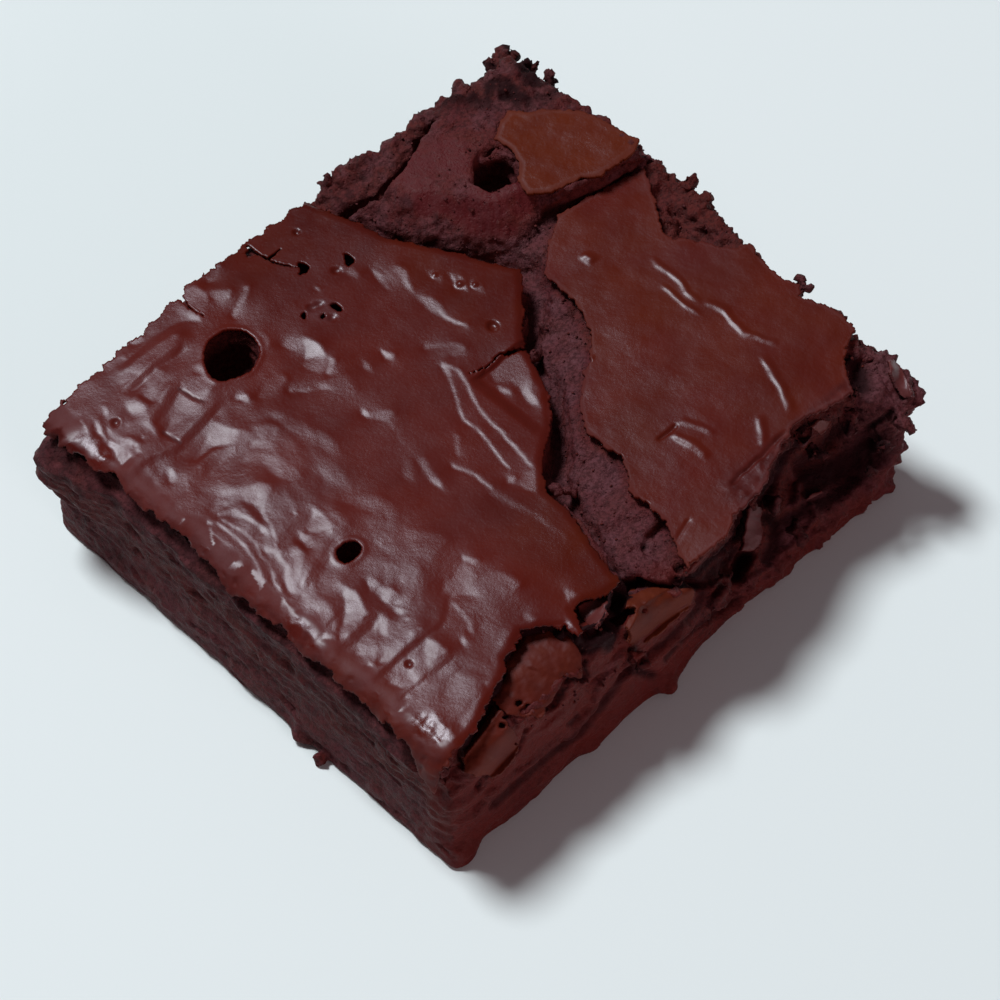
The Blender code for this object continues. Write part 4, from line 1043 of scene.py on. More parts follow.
leftStrokes = (  # route, half width, slope: thin shiny folds
    (((0.8, 6.1), (0.7, 5.2), (0, 3.8), (-1.4, 1.4), (-2.1, 0), (-2.2, -1), (-2.1, -2), (-2.5, -4),
      (-2.9, -5.8), (-3.2, -7.6)), 0.15, 0.31),
    (((1.2, 5.9), (1.6, 4.6), (1, 2.6), (0.2, 1), (-0.5, -1.5), (-0.7, -4), (-1.1, -6.5), (-1.6, -9)),
      0.18, 0.28),
    (((0.7, 5), (1.1, 6)), 0.3, 0.26),
    (((-6.9, -3.5), (-6.3, -5), (-6.1, -6), (-6.2, -8)), 0.2, 0.24),
    (((-6.4, -8.6), (-6, -11), (-5.4, -13.5), (-5.3, -17)), 0.3, 0.08),
    (((-29.3, 26.2), (-29.5, 25), (-30, 24), (-30.6, 23.4)), 0.15, 0.26),
    (((-27, 25.2), (-26.5, 25.7)), 0.15, 0.23),
    (((-8.6, 30.2), (-7.8, 30.2), (-6.5, 31)), 0.15, 0.23),
    (((-9.7, 25.3), (-8.6, 25.7), (-7.5, 26.2), (-6.4, 26.8)), 0.17, 0.3),
    (((-12.1, 14.4), (-11.6, 14.3), (-10.9, 13.4), (-10.1, 12.9)), 0.14, 0.28),
    (((-14.5, 16), (-11.5, 15.9)), 0.26, 0.12),
    (((-28.1, 7.7), (-27.8, 5.5), (-27.9, 4), (-28.2, 2.5), (-28.6, 1.2), (-29.1, 0.2)), 0.14, 0.3),
    (((-29, 7.6), (-29.2, 6), (-29, 4.6)), 0.14, 0.2),
    (((-27.4, 7.5), (-27, 5.5), (-26.9, 4.5), (-27, 3), (-27.7, 1.5)), 0.14, 0.24),
    (((-23.9, 5.6), (-24.2, 4.8), (-24.6, 3.5), (-25.4, 2), (-26.2, 1.3), (-27.1, 1.6)), 0.18, 0.29),
    (((-27.3, 8.1), (-26.7, 8.8)), 0.12, 0.3), (((-26.9, 7.7), (-26.4, 7.9)), 0.11, 0.28),
    (((-30, 6), (-29.3, 7)), 0.12, 0.25), (((-31.1, 6.8), (-30.9, 5.9)), 0.12, 0.3),
    (((-29.1, -2.7), (-28.7, -1.3), (-28.1, -0.4)), 0.17, 0.29),
    (((-27.8, 0.3), (-27.6, 1.4)), 0.12, 0.26),
    (((-32.2, -7), (-31.2, -6), (-30.4, -5.2), (-30, -4.6), (-29.5, -3.5)), 0.14, 0.26),
    (((-22.7, -9.2), (-21.8, -9.5)), 0.12, 0.28),
    (((-19.3, -18.8), (-18.8, -17.8), (-18.4, -16.6), (-18.3, -15.5)), 0.26, 0.18),
    (((-5.6, -2.8), (-4.2, -1.2)), 0.22, 0.16),
    (((2.4, -7.3), (3.6, -6.4), (4.6, -5), (5.4, -4.3), (6.5, -3.2)), 0.14, 0.23),
    (((1.4, 8.9), (2.6, 8), (3.6, 7), (3.8, 6.3), (2.7, 6.3)), 0.26, 0.18),
    (((5.6, 11.5), (5.4, 10), (6.1, 8.1)), 0.15, 0.29),
    (((-30.1, 10.2), (-31.8, 9.8)), 0.15, 0.18), (((-21.9, 3), (-21.8, 3.1)), 0.17, 0.3),
    (((-31.6, 8), (-31.5, 8.1)), 0.15, 0.28), (((-22.8, -13.6), (-22.7, -13.7)), 0.15, 0.3),
    (((-28.8, -14.8), (-28.7, -15)), 0.2, 0.3), (((-25.7, 20.5), (-25.6, 20.6)), 0.15, 0.28),
    (((-26.3, 20.3), (-26.2, 20.4)), 0.18, 0.29), (((-27.4, 20), (-27.3, 20.1)), 0.2, 0.28),
    (((-27.7, 19.3), (-27.6, 19.4)), 0.14, 0.3),
    (((-31.8, -17.7), (-31.2, -18.1), (-30.7, -17.5)), 0.15, 0.28),
    (((-31.8, -8.6), (-31.3, -9.2)), 0.2, 0.28), (((-31.7, -19.2), (-31.5, -20)), 0.15, 0.24),
    (((-30.5, -25.7), (-30.3, -25.5)), 0.18, 0.29), (((-1.3, 21.9), (-1.3, 22.1)), 0.14, 0.3),
)
leftHollows = (  # route, half width, slopes along x and y: dark folds that turn away from the light
    (((-33.7, 16), (-30.2, 17.7), (-28.5, 18.1), (-25, 17), (-22, 17.6), (-18.5, 18.1)), 0.4, 0.02, 0.24),
    (((-29.5, -16.2), (-25, -16.1), (-21, -16.2), (-19, -14.8), (-16.5, -13)), 0.28, 0.03, 0.24),
    (((-24, 21.2), (-22, 21.8), (-20.2, 22.6)), 0.5, 0.02, 0.25),
    (((-23, 25.9), (-19, 26.1), (-16.6, 26)), 0.4, 0.05, 0.3),
    (((-22, 28.3), (-18, 28.5), (-15, 28.3)), 0.4, 0.02, -0.3),
    (((-29.6, -11.4), (-26, -11.4)), 0.5, 0.02, 0.2),
    (((-24.3, 7.6), (-24.6, 6), (-25, 4.4)), 0.3, -0.1, 0), (((-28.4, 6.4), (-28.4, 4)), 0.25, 0, 0),
    (((-23.9, -6.2), (-23.6, -9), (-23.4, -12.6)), 0.35, -0.04, 0),
    (((-22, -2.2), (-24.6, -3.2), (-26.4, -4)), 0.5, 0, 0.1),
    (((-26, 13), (-22.5, 13.6), (-20, 12.6)), 0.6, 0.02, 0.1), (((-20, 4.4), (-18, 4.2)), 0.8, 0, 0),
    (((-29.4, -19.4), (-23, -19.6)), 0.25, 0.05, 0.2), (((-12.2, -14.2), (-9.5, -14.6)), 0.5, -0.08, 0),
)
leftGrooves = (  # route, width, depth
    (((-19.8, 22.3), (-19.6, 20.6), (-19.2, 19.3)), 0.16, 0.08),
    (((-24.4, 19.5), (-24.3, 18.2), (-24.1, 17.3)), 0.16, 0.08),
)
leftSlits = (  # thin cracks through the crust, widest at their first point
    ((-2.8, 31), (-2.4, 28.8), (-2.1, 27.4), (-1.2, 25.8), (-0.1, 24.9)),
    ((-2.2, 28.3), (0, 28.5)),
    ((-12.1, 30.8), (-12.2, 29), (-12.0, 27.3)),
    ((8.6, 2.1), (7.4, 2.5), (6, 3.1), (4.5, 2.9), (3, 3.2), (2, 3.6)),
)
leftBreaks = (  # small holes through the crust
    ((-5.1, 20.1), (-4.9, 20.6), (-4.3, 20.8), (-4.3, 20.3), (-4.8, 19.9)),
    ((-2, 19.4), (-1.7, 19.8), (-1.3, 19.5), (-1.2, 18.7), (-1.6, 18.1), (-1.9, 18.6)),
    ((2.7, 22), (3.2, 22.8), (3.7, 23.6), (4.1, 23.3), (4, 22)),
    ((-1.6, 24.7), (-0.8, 24.9), (-0.5, 25.9), (-0.1, 25.9), (0.2, 25.1), (-0.2, 24.4), (-1, 24.4)),
    ((-3.5, 30), (-3.2, 30.8), (-2.5, 30.9), (-2.3, 30.2), (-2.9, 29.8)),
    ((-3.7, 19), (-3.4, 19.4), (-3, 19.2), (-3.2, 18.8), (-3.6, 18.7)),
)
leftCrackle = (  # centre, reach along x and along y: the finely wrinkled spots of the left rim
    ((-30.6, 23), 1.8, 3.2),
    ((-31, -7.6), 1.6, 3.0),
    ((-29.8, -24), 1.8, 2.8),
)
leftPits = (  # centre, radius, depth: where it is below zero, a small bump
    ((-2.6, 20.4), 0.5, 0.2),
    ((-3.4, 20.6), 0.5, 0.25),
    ((-2.8, 18.2), 0.5, 0.2),
    ((7.9, 6.2), 0.6, 0.35),
    ((1.7, 22.5), 0.5, 0.25),
    ((2.2, 28.9), 0.35, 0.3),
    ((-27.0, 23.7), 0.4, 0.25),
    ((-26.1, -17.4), 0.35, 0.2),
    ((9.3, 12.4), 0.35, -0.22),
    ((8.3, 15.0), 0.3, -0.15),
    ((10.3, 11.2), 0.3, -0.2),
    ((-32.2, 26.9), 0.8, 0.9),
)


def pitRelief(plan, pits):
    total = np.zeros(len(plan))
    for centre, radius, depth in pits:
        away = np.linalg.norm(plan - centre, axis=1)
        total -= depth * (1 - step(away, 0.4 * radius, 1.3 * radius))
    return total


def cutOut(inside, plan, outline, fray, seed):  # takes a hole with frayed edges out of a sheet
    spots = near(plan, outline, 1.5)
    frayed = raggedPlan(plan[spots], fray, seed)
    inside[spots] = np.minimum(inside[spots], -depthInside(frayed, outline))


def leftTrim(plan):
    s, y = plan.T  # s runs along the flat sheet, on past the bend
    frayed = raggedPlan(plan, 0.22, 201)
    drop = 0.8 * rough(atHeight(plan * (0, 1), 0), 3.4, 211) + 2.8 * step(-y, 22.5, 27)
    drop = drop - 0.7 * step(y, 2, 6)
    lowest = leftSheet["bendAt"] - 2.9 - drop  # how far the rolled rim hangs down
    backRim = leftSheet["backRim"] - 1.2 * step(-s, 8, 31) - 0.6 * step(-s, 9, 17) - 1.0 * step(-s, 29, 33)
    teeth = 0.45 * rough(atHeight(plan, 5), 1.1, 215) + 0.08 * rough(atHeight(plan, 5), 0.4, 217, 2)
    edges = [depthInside(frayed, plates["left"]), s - lowest + teeth, backRim - y + teeth]
    inside = np.minimum.reduce(edges)
    for outline, _ in holes[:2]:
        cutOut(inside, plan, outline, 0.12, 221)
    for outline in leftBreaks:
        cutOut(inside, plan, sunkTo(outline, square["leftLevel"]), 0.1, 223)
    drawn = markPlan(plan, leftLevel(s, y))
    for route in leftSlits:
        spots = near(drawn, route, 1.0)
        away, _, share = alongRoute(raggedPlan(drawn[spots], 0.12, 227), route)
        inside[spots] = np.minimum(inside[spots], away - 0.17 * (1.2 - share))
    return inside


def bentPlan(plan, amount, size, seed):  # places pushed gently, so that marks lose their straight edges
    raised = atHeight(plan, 4.1)
    return plan + amount * np.column_stack([noise(raised, size, seed), noise(raised, size, seed + 1)])


def leftMarkPlan(plan):  # where the left plate's points lie among its marks
    return bentPlan(markPlan(plan, leftLevel(*plan.T)), 0.12, 0.9, 233)


def wantedSlopes(drawn):  # slopes along x and y, how firmly each place wants them, and how much it shines
    slopes, trust = np.zeros((len(drawn), 2)), np.full(len(drawn), leftSheet["hold"])
    shine = np.zeros(len(drawn))

    def want(spots, wanted, share, firmness):
        slopes[spots] += (np.array(wanted) - slopes[spots]) * share[:, None]
        trust[spots] = np.maximum(trust[spots], firmness * share)
        shine[spots] += (max(wanted[0], 0) - shine[spots]) * share

    for route, halfWidth, slope, across in leftHollows:
        spots = near(drawn, route, 2 * halfWidth)
        share = 1 - step(alongRoute(drawn[spots], route)[0] / halfWidth, 0.4, 1.8)
        want(spots, (slope, across), share, 0.4)
    for outline, slope, soft in leftFacets:
        spots = near(drawn, outline, 2 * soft)
        share = step(depthInside(drawn[spots], outline), -soft, 0.7 * soft)
        want(spots, (slope, leftSheet["across"]), share, 1)
    for route, halfWidth, slope in leftStrokes:
        spots = near(drawn, route, 2 * halfWidth)
        share = 1 - step(alongRoute(drawn[spots], route)[0] / halfWidth, 0.5, 1.6)
        want(spots, (slope, leftSheet["across"]), share, 1)
    uneven = 0.93 + 0.10 * rough(atHeight(drawn, 2.3), 1.4, 275)
    uneven = uneven - 0.07 * step(12 - drawn[:, 1], 0, 4) * step(-drawn[:, 0], 10, 14)
    slopes[:, 0] *= np.where(slopes[:, 0] > 0.1, uneven, 1)
    return slopes, trust, shine


def solveHeights(slopeX, slopeY, trust, anchor, rounds):  # heights whose steps come near the wanted ones
    trustX, trustY = 0.5 * (trust[:, 1:] + trust[:, :-1]), 0.5 * (trust[1:] + trust[:-1])

    def spread(stepX, stepY):
        total = np.zeros(trust.shape)
        total[:, 1:] += stepX
        total[:, :-1] -= stepX
        total[1:] += stepY
        total[:-1] -= stepY
        return total

    def pull(heights):
        steps = spread(trustX * np.diff(heights, axis=1), trustY * np.diff(heights, axis=0))
        return steps + anchor * heights

    scale = 1 / (anchor + 4 * trust)
    heights = np.zeros(trust.shape)
    left = spread(trustX * slopeX, trustY * slopeY)
    eased = scale * left
    way, weight = eased, (left * eased).sum()
    for _ in range(rounds):  # conjugate gradients
        pulled = pull(way)
        length = weight / (way * pulled).sum()
        heights = heights + length * way
        left = left - length * pulled
        eased = scale * left
        way, weight = eased + (left * eased).sum() / weight * way, (left * eased).sum()
    return heights


def foldHeights():  # relief of the facets and folds, on the grid from which the sheet is cut
    low, high = np.array(leftSheet["low"], float), np.array(leftSheet["high"], float)
    counts = np.ceil((high - low) / leftSheet["cell"]).astype(int)
    columns, rows = (np.linspace(low[k], high[k], counts[k] + 1) for k in (0, 1))
    plan = np.stack(np.meshgrid(columns, rows), axis=-1)
    level = leftLevel(plan[..., 0], plan[..., 1])
    slopes, trust, _ = wantedSlopes(leftMarkPlan(plan.reshape(-1, 2)))
    slopeX, slopeY, trust = (values.reshape(level.shape) for values in (*slopes.T, trust))
    share = step(trust, leftSheet["hold"], 2 * leftSheet["hold"])
    cellX, cellY = columns[1] - columns[0], rows[1] - rows[0]
    slopeX = share[:, 1:] * (slopeX[:, 1:] * cellX - np.diff(level, axis=1))
    slopeY = share[1:] * (slopeY[1:] * cellY - np.diff(level, axis=0))
    return columns, rows, solveHeights(slopeX, slopeY, trust, leftSheet["anchor"], leftSheet["rounds"])


def heightAt(plan, columns, rows, heights):  # read between the points of the grid
    u = np.clip((plan[:, 0] - columns[0]) / (columns[1] - columns[0]), 0, len(columns) - 1.001)
    v = np.clip((plan[:, 1] - rows[0]) / (rows[1] - rows[0]), 0, len(rows) - 1.001)
    i, j = u.astype(int), v.astype(int)
    u, v = u - i, v - j
    front = heights[j, i] * (1 - u) + heights[j, i + 1] * u
    back = heights[j + 1, i] * (1 - u) + heights[j + 1, i + 1] * u
    return front * (1 - v) + back * v


def leftRelief(plan):  # relief, where the rim is crackled, and how much each place shines
    x, y = plan.T
    drawn = leftMarkPlan(plan)
    shine = wantedSlopes(drawn)[2]
    relief = heightAt(plan, *foldHeights())
    relief += grooveRelief(drawn, leftGrooves) + pitRelief(drawn, leftPits)
    # fine folds, along x near the front and back and along y between them
    raised = atHeight(plan, 1.7)
    swirl = 1.6 * np.column_stack([noise(raised, 6, 235), noise(raised, 6, 237), np.zeros(len(plan))])
    bent = raised + swirl
    folds = raised + 0.7 * swirl
    wild = step(-x, 8, 22)  # the left part is the most wrinkled
    across = 0.35 + 0.65 * step(np.abs(y - 4), 8, 16)
    relief += (0.03 + 0.03 * wild) * rough(bent, 3.4, 241, 2)
    relief += 0.03 * wild * across * noise(folds * (0.3, 1, 1), 2.2, 243)
    relief += 0.03 * wild * (1 - across) * noise(folds * (1, 0.3, 1), 2.0, 245)
    relief += (0.002 + 0.008 * wild) * creased(bent * (0.7, 0.7, 1), 2.2, 247)
    relief += (0.003 + 0.004 * wild) * rough(bent, 0.8, 249, 2)
    crackle = np.zeros(len(plan))
    for centre, alongX, alongY in leftCrackle:
        away = np.hypot(*((drawn - centre) / (alongX, alongY)).T)
        crackle = np.maximum(crackle, 1 - step(away, 0.5, 1.2))
    relief += 0.05 * crackle * rough(raised, 0.75, 253, 2)
    # the plate sinks in front of the crack on its right, and at its edges
    sunken = step(3.0 - drawn[:, 1], 0, 0.4) * step(drawn[:, 0], 1.2, 2.8) * step(drawn[:, 1], -9, -3)
    relief -= 0.45 * sunken
    edge = depthInside(plan, plates["left"])
    relief -= 0.16 * (1 - step(edge, 0, 0.9)) + 0.14 * np.exp(-((edge / 0.25) ** 2))
    for outline, _ in holes[:2]:  # a thin lip round each bubble hole
        spots = near(plan, outline, 1.5)
        ring = depthInside(plan[spots], outline) + 0.25
        relief[spots] += 0.08 * np.exp(-((ring / 0.3) ** 2))
    porous = step(-31.2 - drawn[:, 0], -0.6, 0.6)  # the rim is full of small pores
    relief += porous * (0.10 * rough(raised, 1.1, 267, 2) - 0.16 * step(noise(raised, 0.9, 269), 0.3, 0.7))
    return relief, crackle, shine


def thickenSheet(piece, most):  # the hidden underside keeps few faces
    piece.vertex_groups.new(name="underside")
    thickness = square["crust"] * mm
    finishWith(piece, "SOLIDIFY", thickness=thickness, offset=-1, shell_vertex_group="underside")
    count = triangleCount(piece)
    if count > most:
        finishWith(piece, "DECIMATE", ratio=most / count, vertex_group="underside")
    thinOut(piece, most)
    piece.vertex_groups.clear()


def rollOverRim(plan, relief):  # the plate's level, and its left part rolled down over the rim
    s, y = plan.T
    roll, lean, steepest = leftSheet["roll"], leftSheet["lean"], leftSheet["steepest"]
    bendAt = leftSheet["bendAt"] + 0.7 * rough(atHeight(plan * (0, 1), 0), 5, 213)
    pastBend = bendAt - s
    past = np.clip(pastBend, 0, None)
    angle = np.clip(lean + past / roll, 0, steepest)
    below = np.clip(past - roll * (steepest - lean), 0, None)
    level = leftLevel(np.maximum(s, bendAt), y)
    rolled = bendAt - roll * (np.sin(angle) - math.sin(lean)) - math.cos(steepest) * below
    x = np.where(s > bendAt, s, rolled)
    z = level - roll * (math.cos(lean) - np.cos(angle)) - math.sin(steepest) * below
    flap = 0.9 * step(y, 19, 25) * step(past, 0, 1.5)  # the rim stands off near the back
    x = x - np.sin(angle) * relief * 0.6 - flap
    return np.column_stack([x, y, z + np.cos(angle) * relief]), level, pastBend


def toneLeftCrust(piece, plan, level, pastBend, crackle, shine):
    points = readPoints(piece)
    s, y = plan.T
    past = np.clip(pastBend, 0, None)
    drawn = markPlan(points[:, :2], level)

    warm = step(s, -14, -4) * step(-y, 8, 16) + 0.5 * step(s, 2, 8) * step(y, 2, 6)
    warm += 0.5 * step(y, 22, 29) * step(s, -12, -4) + 0.4 * step(-s, 27, 31) * step(-y, 10, 14)
    addShare(piece, "tan", warm * (0.55 + 0.5 * rough(points, 4, 257)))

    # painted sheen: a milky glow over the left part, and painted highlights where the facets shine; the
    # purple spot among the small holes is the crust's own colour
    sheen = 0.10 * step(-s, -4, 8) * (1 - step(-y, 14, 20)) * step(14 - y, 0, 6)
    sheen += 0.12 * step(-s, 13, 19) * (0.15 + 0.85 * step(y, 13, 19))
    sheen = sheen * (0.8 + 0.5 * rough(points, 4, 261)) * step(s, -31, -29)
    sheen = sheen + 0.6 * np.clip(shine - 0.1, 0, None)
    patch = np.hypot((s + 3.5) / 1.8, (y - 19) / 1.7) + 0.25 * rough(points, 1.5, 265)
    patch = 1 - step(patch, 0.7, 1.1)  # the purple spot among the small holes
    addShare(piece, "paleTintAndSheen", np.maximum(sheen, 0.45 * patch))

    # painted shade: dark thin lines along the grooves and a dark spot in the pit at the far left corner
    creaseAndPitShade = np.zeros(len(points))
    for route, _, _ in leftGrooves:
        creaseAndPitShade = np.maximum(creaseAndPitShade, 1 - step(alongRoute(drawn, route)[0], 0.06, 0.22))
    cornerPit = np.hypot(drawn[:, 0] + 32.1, drawn[:, 1] - 26.9) + 0.4 * rough(points, 0.9, 277)
    creaseAndPitShade = np.maximum(creaseAndPitShade, 1 - step(cornerPit, 0.4, 1.0))
    darkTintAndShade = 0.12 * step(s, -12, -6) + 0.38 * step(s, 0, 7) * step(y, -6, 0)
    darkTintAndShade = darkTintAndShade + 0.4 * step(y, 17, 24) * step(s, -12, -6) + 0.36 * step(s, -13, -8) * step(-y, 4, 12)
    # the rolled rim darker in patches
    darkPatches = 0.7 * step(past, 0.6, 2.2) * step(rough(points, 2.2, 273), -0.5, 0.4)
    darkTintAndShade = np.maximum.reduce([darkTintAndShade, 0.5 * patch, darkPatches, creaseAndPitShade])
    addShare(piece, "darkTintAndShade", darkTintAndShade * (0.85 + 0.4 * rough(points, 5, 263)))

    rim = step(pastBend + 0.5 * rough(points, 1.8, 271), -0.9, 0.1)
    rim = rim * (1 - crackle * step(1.6 - past, 0, 0.8)) * (1 - step(shine, 0.1, 0.2))
    dull = 0.02 * rough(points, 3, 259) - 0.08 * crackle + 0.3 * rim + 0.4 * creaseAndPitShade
    addTone(piece, "dull", dull - 0.06 * step(warm, 0.2, 0.6))


def makeLeftCrust():
    piece = cutSheet("leftCrust", leftSheet, leftTrim)
    plan = readPoints(piece)[:, :2]
    relief, crackle, shine = leftRelief(plan)
    points, level, pastBend = rollOverRim(plan, relief)
    writePoints(piece, points)
    toneLeftCrust(piece, plan, level, pastBend, crackle, shine)
    thickenSheet(piece, leftSheet["triangles"])
    placeFinish(piece, crustFinish)


makeLeftCrust()

rightSheet = {
    "low": (-1, -30),
    "high": (35.5, 12.5),
    "cell": 0.18,
    "triangles": 120000,
}
rightRidges = (  # route, width of the lit flank, width of the far flank, slope
    (((25.5, 1.7), (25.6, -2.5), (25, -4.2), (25, -6.5)), 0.45, 0.6, 0.41),
    (((25.2, -6.2), (26, -8.5), (25.3, -11.5), (25.1, -12.8)), 0.5, 0.8, 0.43),
    (((25.3, -11.8), (26.0, -13.4), (26.7, -15.4)), 0.5, 0.5, 0.43),
    (((24, -1.5), (23.7, -4.2), (23.6, -5.5), (24.1, -7.4)), 0.4, 0.5, 0.41),
    (((24.7, -14.6), (22.5, -20), (21.1, -22.6)), 0.6, 0.9, 0.32),
    (((19.2, -20), (16.3, -23.3)), 0.6, 0.8, 0.31),
    (((10.9, -15.5), (11.4, -18), (11.5, -20.6)), 0.6, 0.9, 0.36),
    (((12.7, -15), (13.6, -17), (14, -18.8)), 0.6, 0.7, 0.24),
)
rightSwells = (  # centre, reach along x and along y, slope
    ((20.8, 5.8), 0.6, 0.9, 0.30),
    ((11.8, -3.3), 0.4, 0.5, 0.32),
    ((23.0, -24.6), 0.6, 0.6, 0.30),
)
rightGrooves = (  # route, width, depth
    (((9.6, -15.2), (11, -15.4), (12.4, -15.3)), 0.2, 0.3),
    (((10.3, -24.4), (12.4, -23.8), (14.5, -23.9), (17, -23.5), (20, -23.3)), 0.22, 0.3),
    (((0.5, -25.6), (2.6, -25.0), (5, -24.2)), 0.2, 0.15),
)


def rightTrim(plan):
    return depthInside(raggedPlan(plan, 0.3, 301), plates["right"])


def rightRelief(plan):
    raised = atHeight(plan, 7.9)
    drawn = bentPlan(markPlan(plan, rightLevel(*plan.T)), 0.22, 1.6, 307)
    relief = ridgeRelief(drawn, rightRidges) + swellRelief(drawn, rightSwells)
    relief += grooveRelief(drawn, rightGrooves)
    relief += 0.16 * rough(raised, 9, 311, 2) + 0.05 * rough(raised, 3, 315, 2)
    relief += 0.010 * rough(raised, 0.8, 319, 2)
    relief += 0.07 * step(-drawn[:, 1], 23.2, 24) * step(drawn[:, 0], 9, 11) * rough(raised, 1.1, 333, 2)
    return relief


def makeRightCrust():
    piece = cutSheet("rightCrust", rightSheet, rightTrim)
    points = readPoints(piece)
    x, y, _ = points.T
    points[:, 2] = rightLevel(x, y) + rightRelief(points[:, :2])
    writePoints(piece, points)
    terrace = step(-y, 22.9, 23.9) * step(x, 8, 11)  # the front strip, broken and dusty
    addShare(piece, "tan", 0.25 + 0.35 * rough(points, 7, 321))
    darkTintAndShade = 0.16 + 0.2 * rough(points, 8, 327) + terrace * (0.35 + 0.6 * rough(points, 1.3, 331, 3))
    addShare(piece, "darkTintAndShade", darkTintAndShade)
    paleTintAndSheen = 0.10 * rough(points, 6, 325) + 0.2 * terrace
    paleTintAndSheen += 0.10 * step(rough(points, 5, 329), 0.1, 0.5) * step(-y, 14, 20)
    addShare(piece, "paleTintAndSheen", paleTintAndSheen)
    edge = depthInside(points[:, :2], plates["right"])
    addTone(piece, "dull", 0.02 + 0.03 * rough(points, 4, 323) + 0.4 * (1 - step(edge, 0.1, 0.5)))
    thickenSheet(piece, rightSheet["triangles"])
    placeFinish(piece, crustFinish)


makeRightCrust()

tanSheet = {
    "low": (19.5, 9.5),
    "high": (35.5, 24.5),
    "cell": 0.17,
    "proud": 0.1,  # how far it lies above the upper plate
}


def tanTrim(plan):
    inside = depthInside(raggedPlan(plan, 0.18, 401), plates["tan"])
    return np.minimum(inside, -depthInside(raggedPlan(plan, 0.15, 405), holes[2][0]))


def makeTopCrust():
    piece = cutSheet("topCrust", tanSheet, tanTrim)
    points = readPoints(piece)
    x, y, _ = points.T
    edge = depthInside(points[:, :2], plates["tan"])
    relief = 0.10 * rough(points, 5, 411, 2) + 0.02 * rough(points, 1.2, 415, 2)
    relief -= 0.08 * (1 - step(edge, 0, 0.6))
    points[:, 2] = topLevel(x, y) + relief + tanSheet["proud"]
    writePoints(piece, points)
    addShare(piece, "tan", 0.9 + 0.2 * rough(points, 3, 417))
    addTone(piece, "paleTintAndSheen", np.zeros(len(points)))
    addShare(piece, "darkTintAndShade", 0.12 + 0.2 * rough(points, 4, 419))
    addTone(piece, "dull", 0.45 * (1 - step(edge, 0.2, 0.8)) - 0.04)
    finishWith(piece, "SOLIDIFY", thickness=square["crust"] * mm, offset=-1)
    placeFinish(piece, crustFinish)


makeTopCrust()

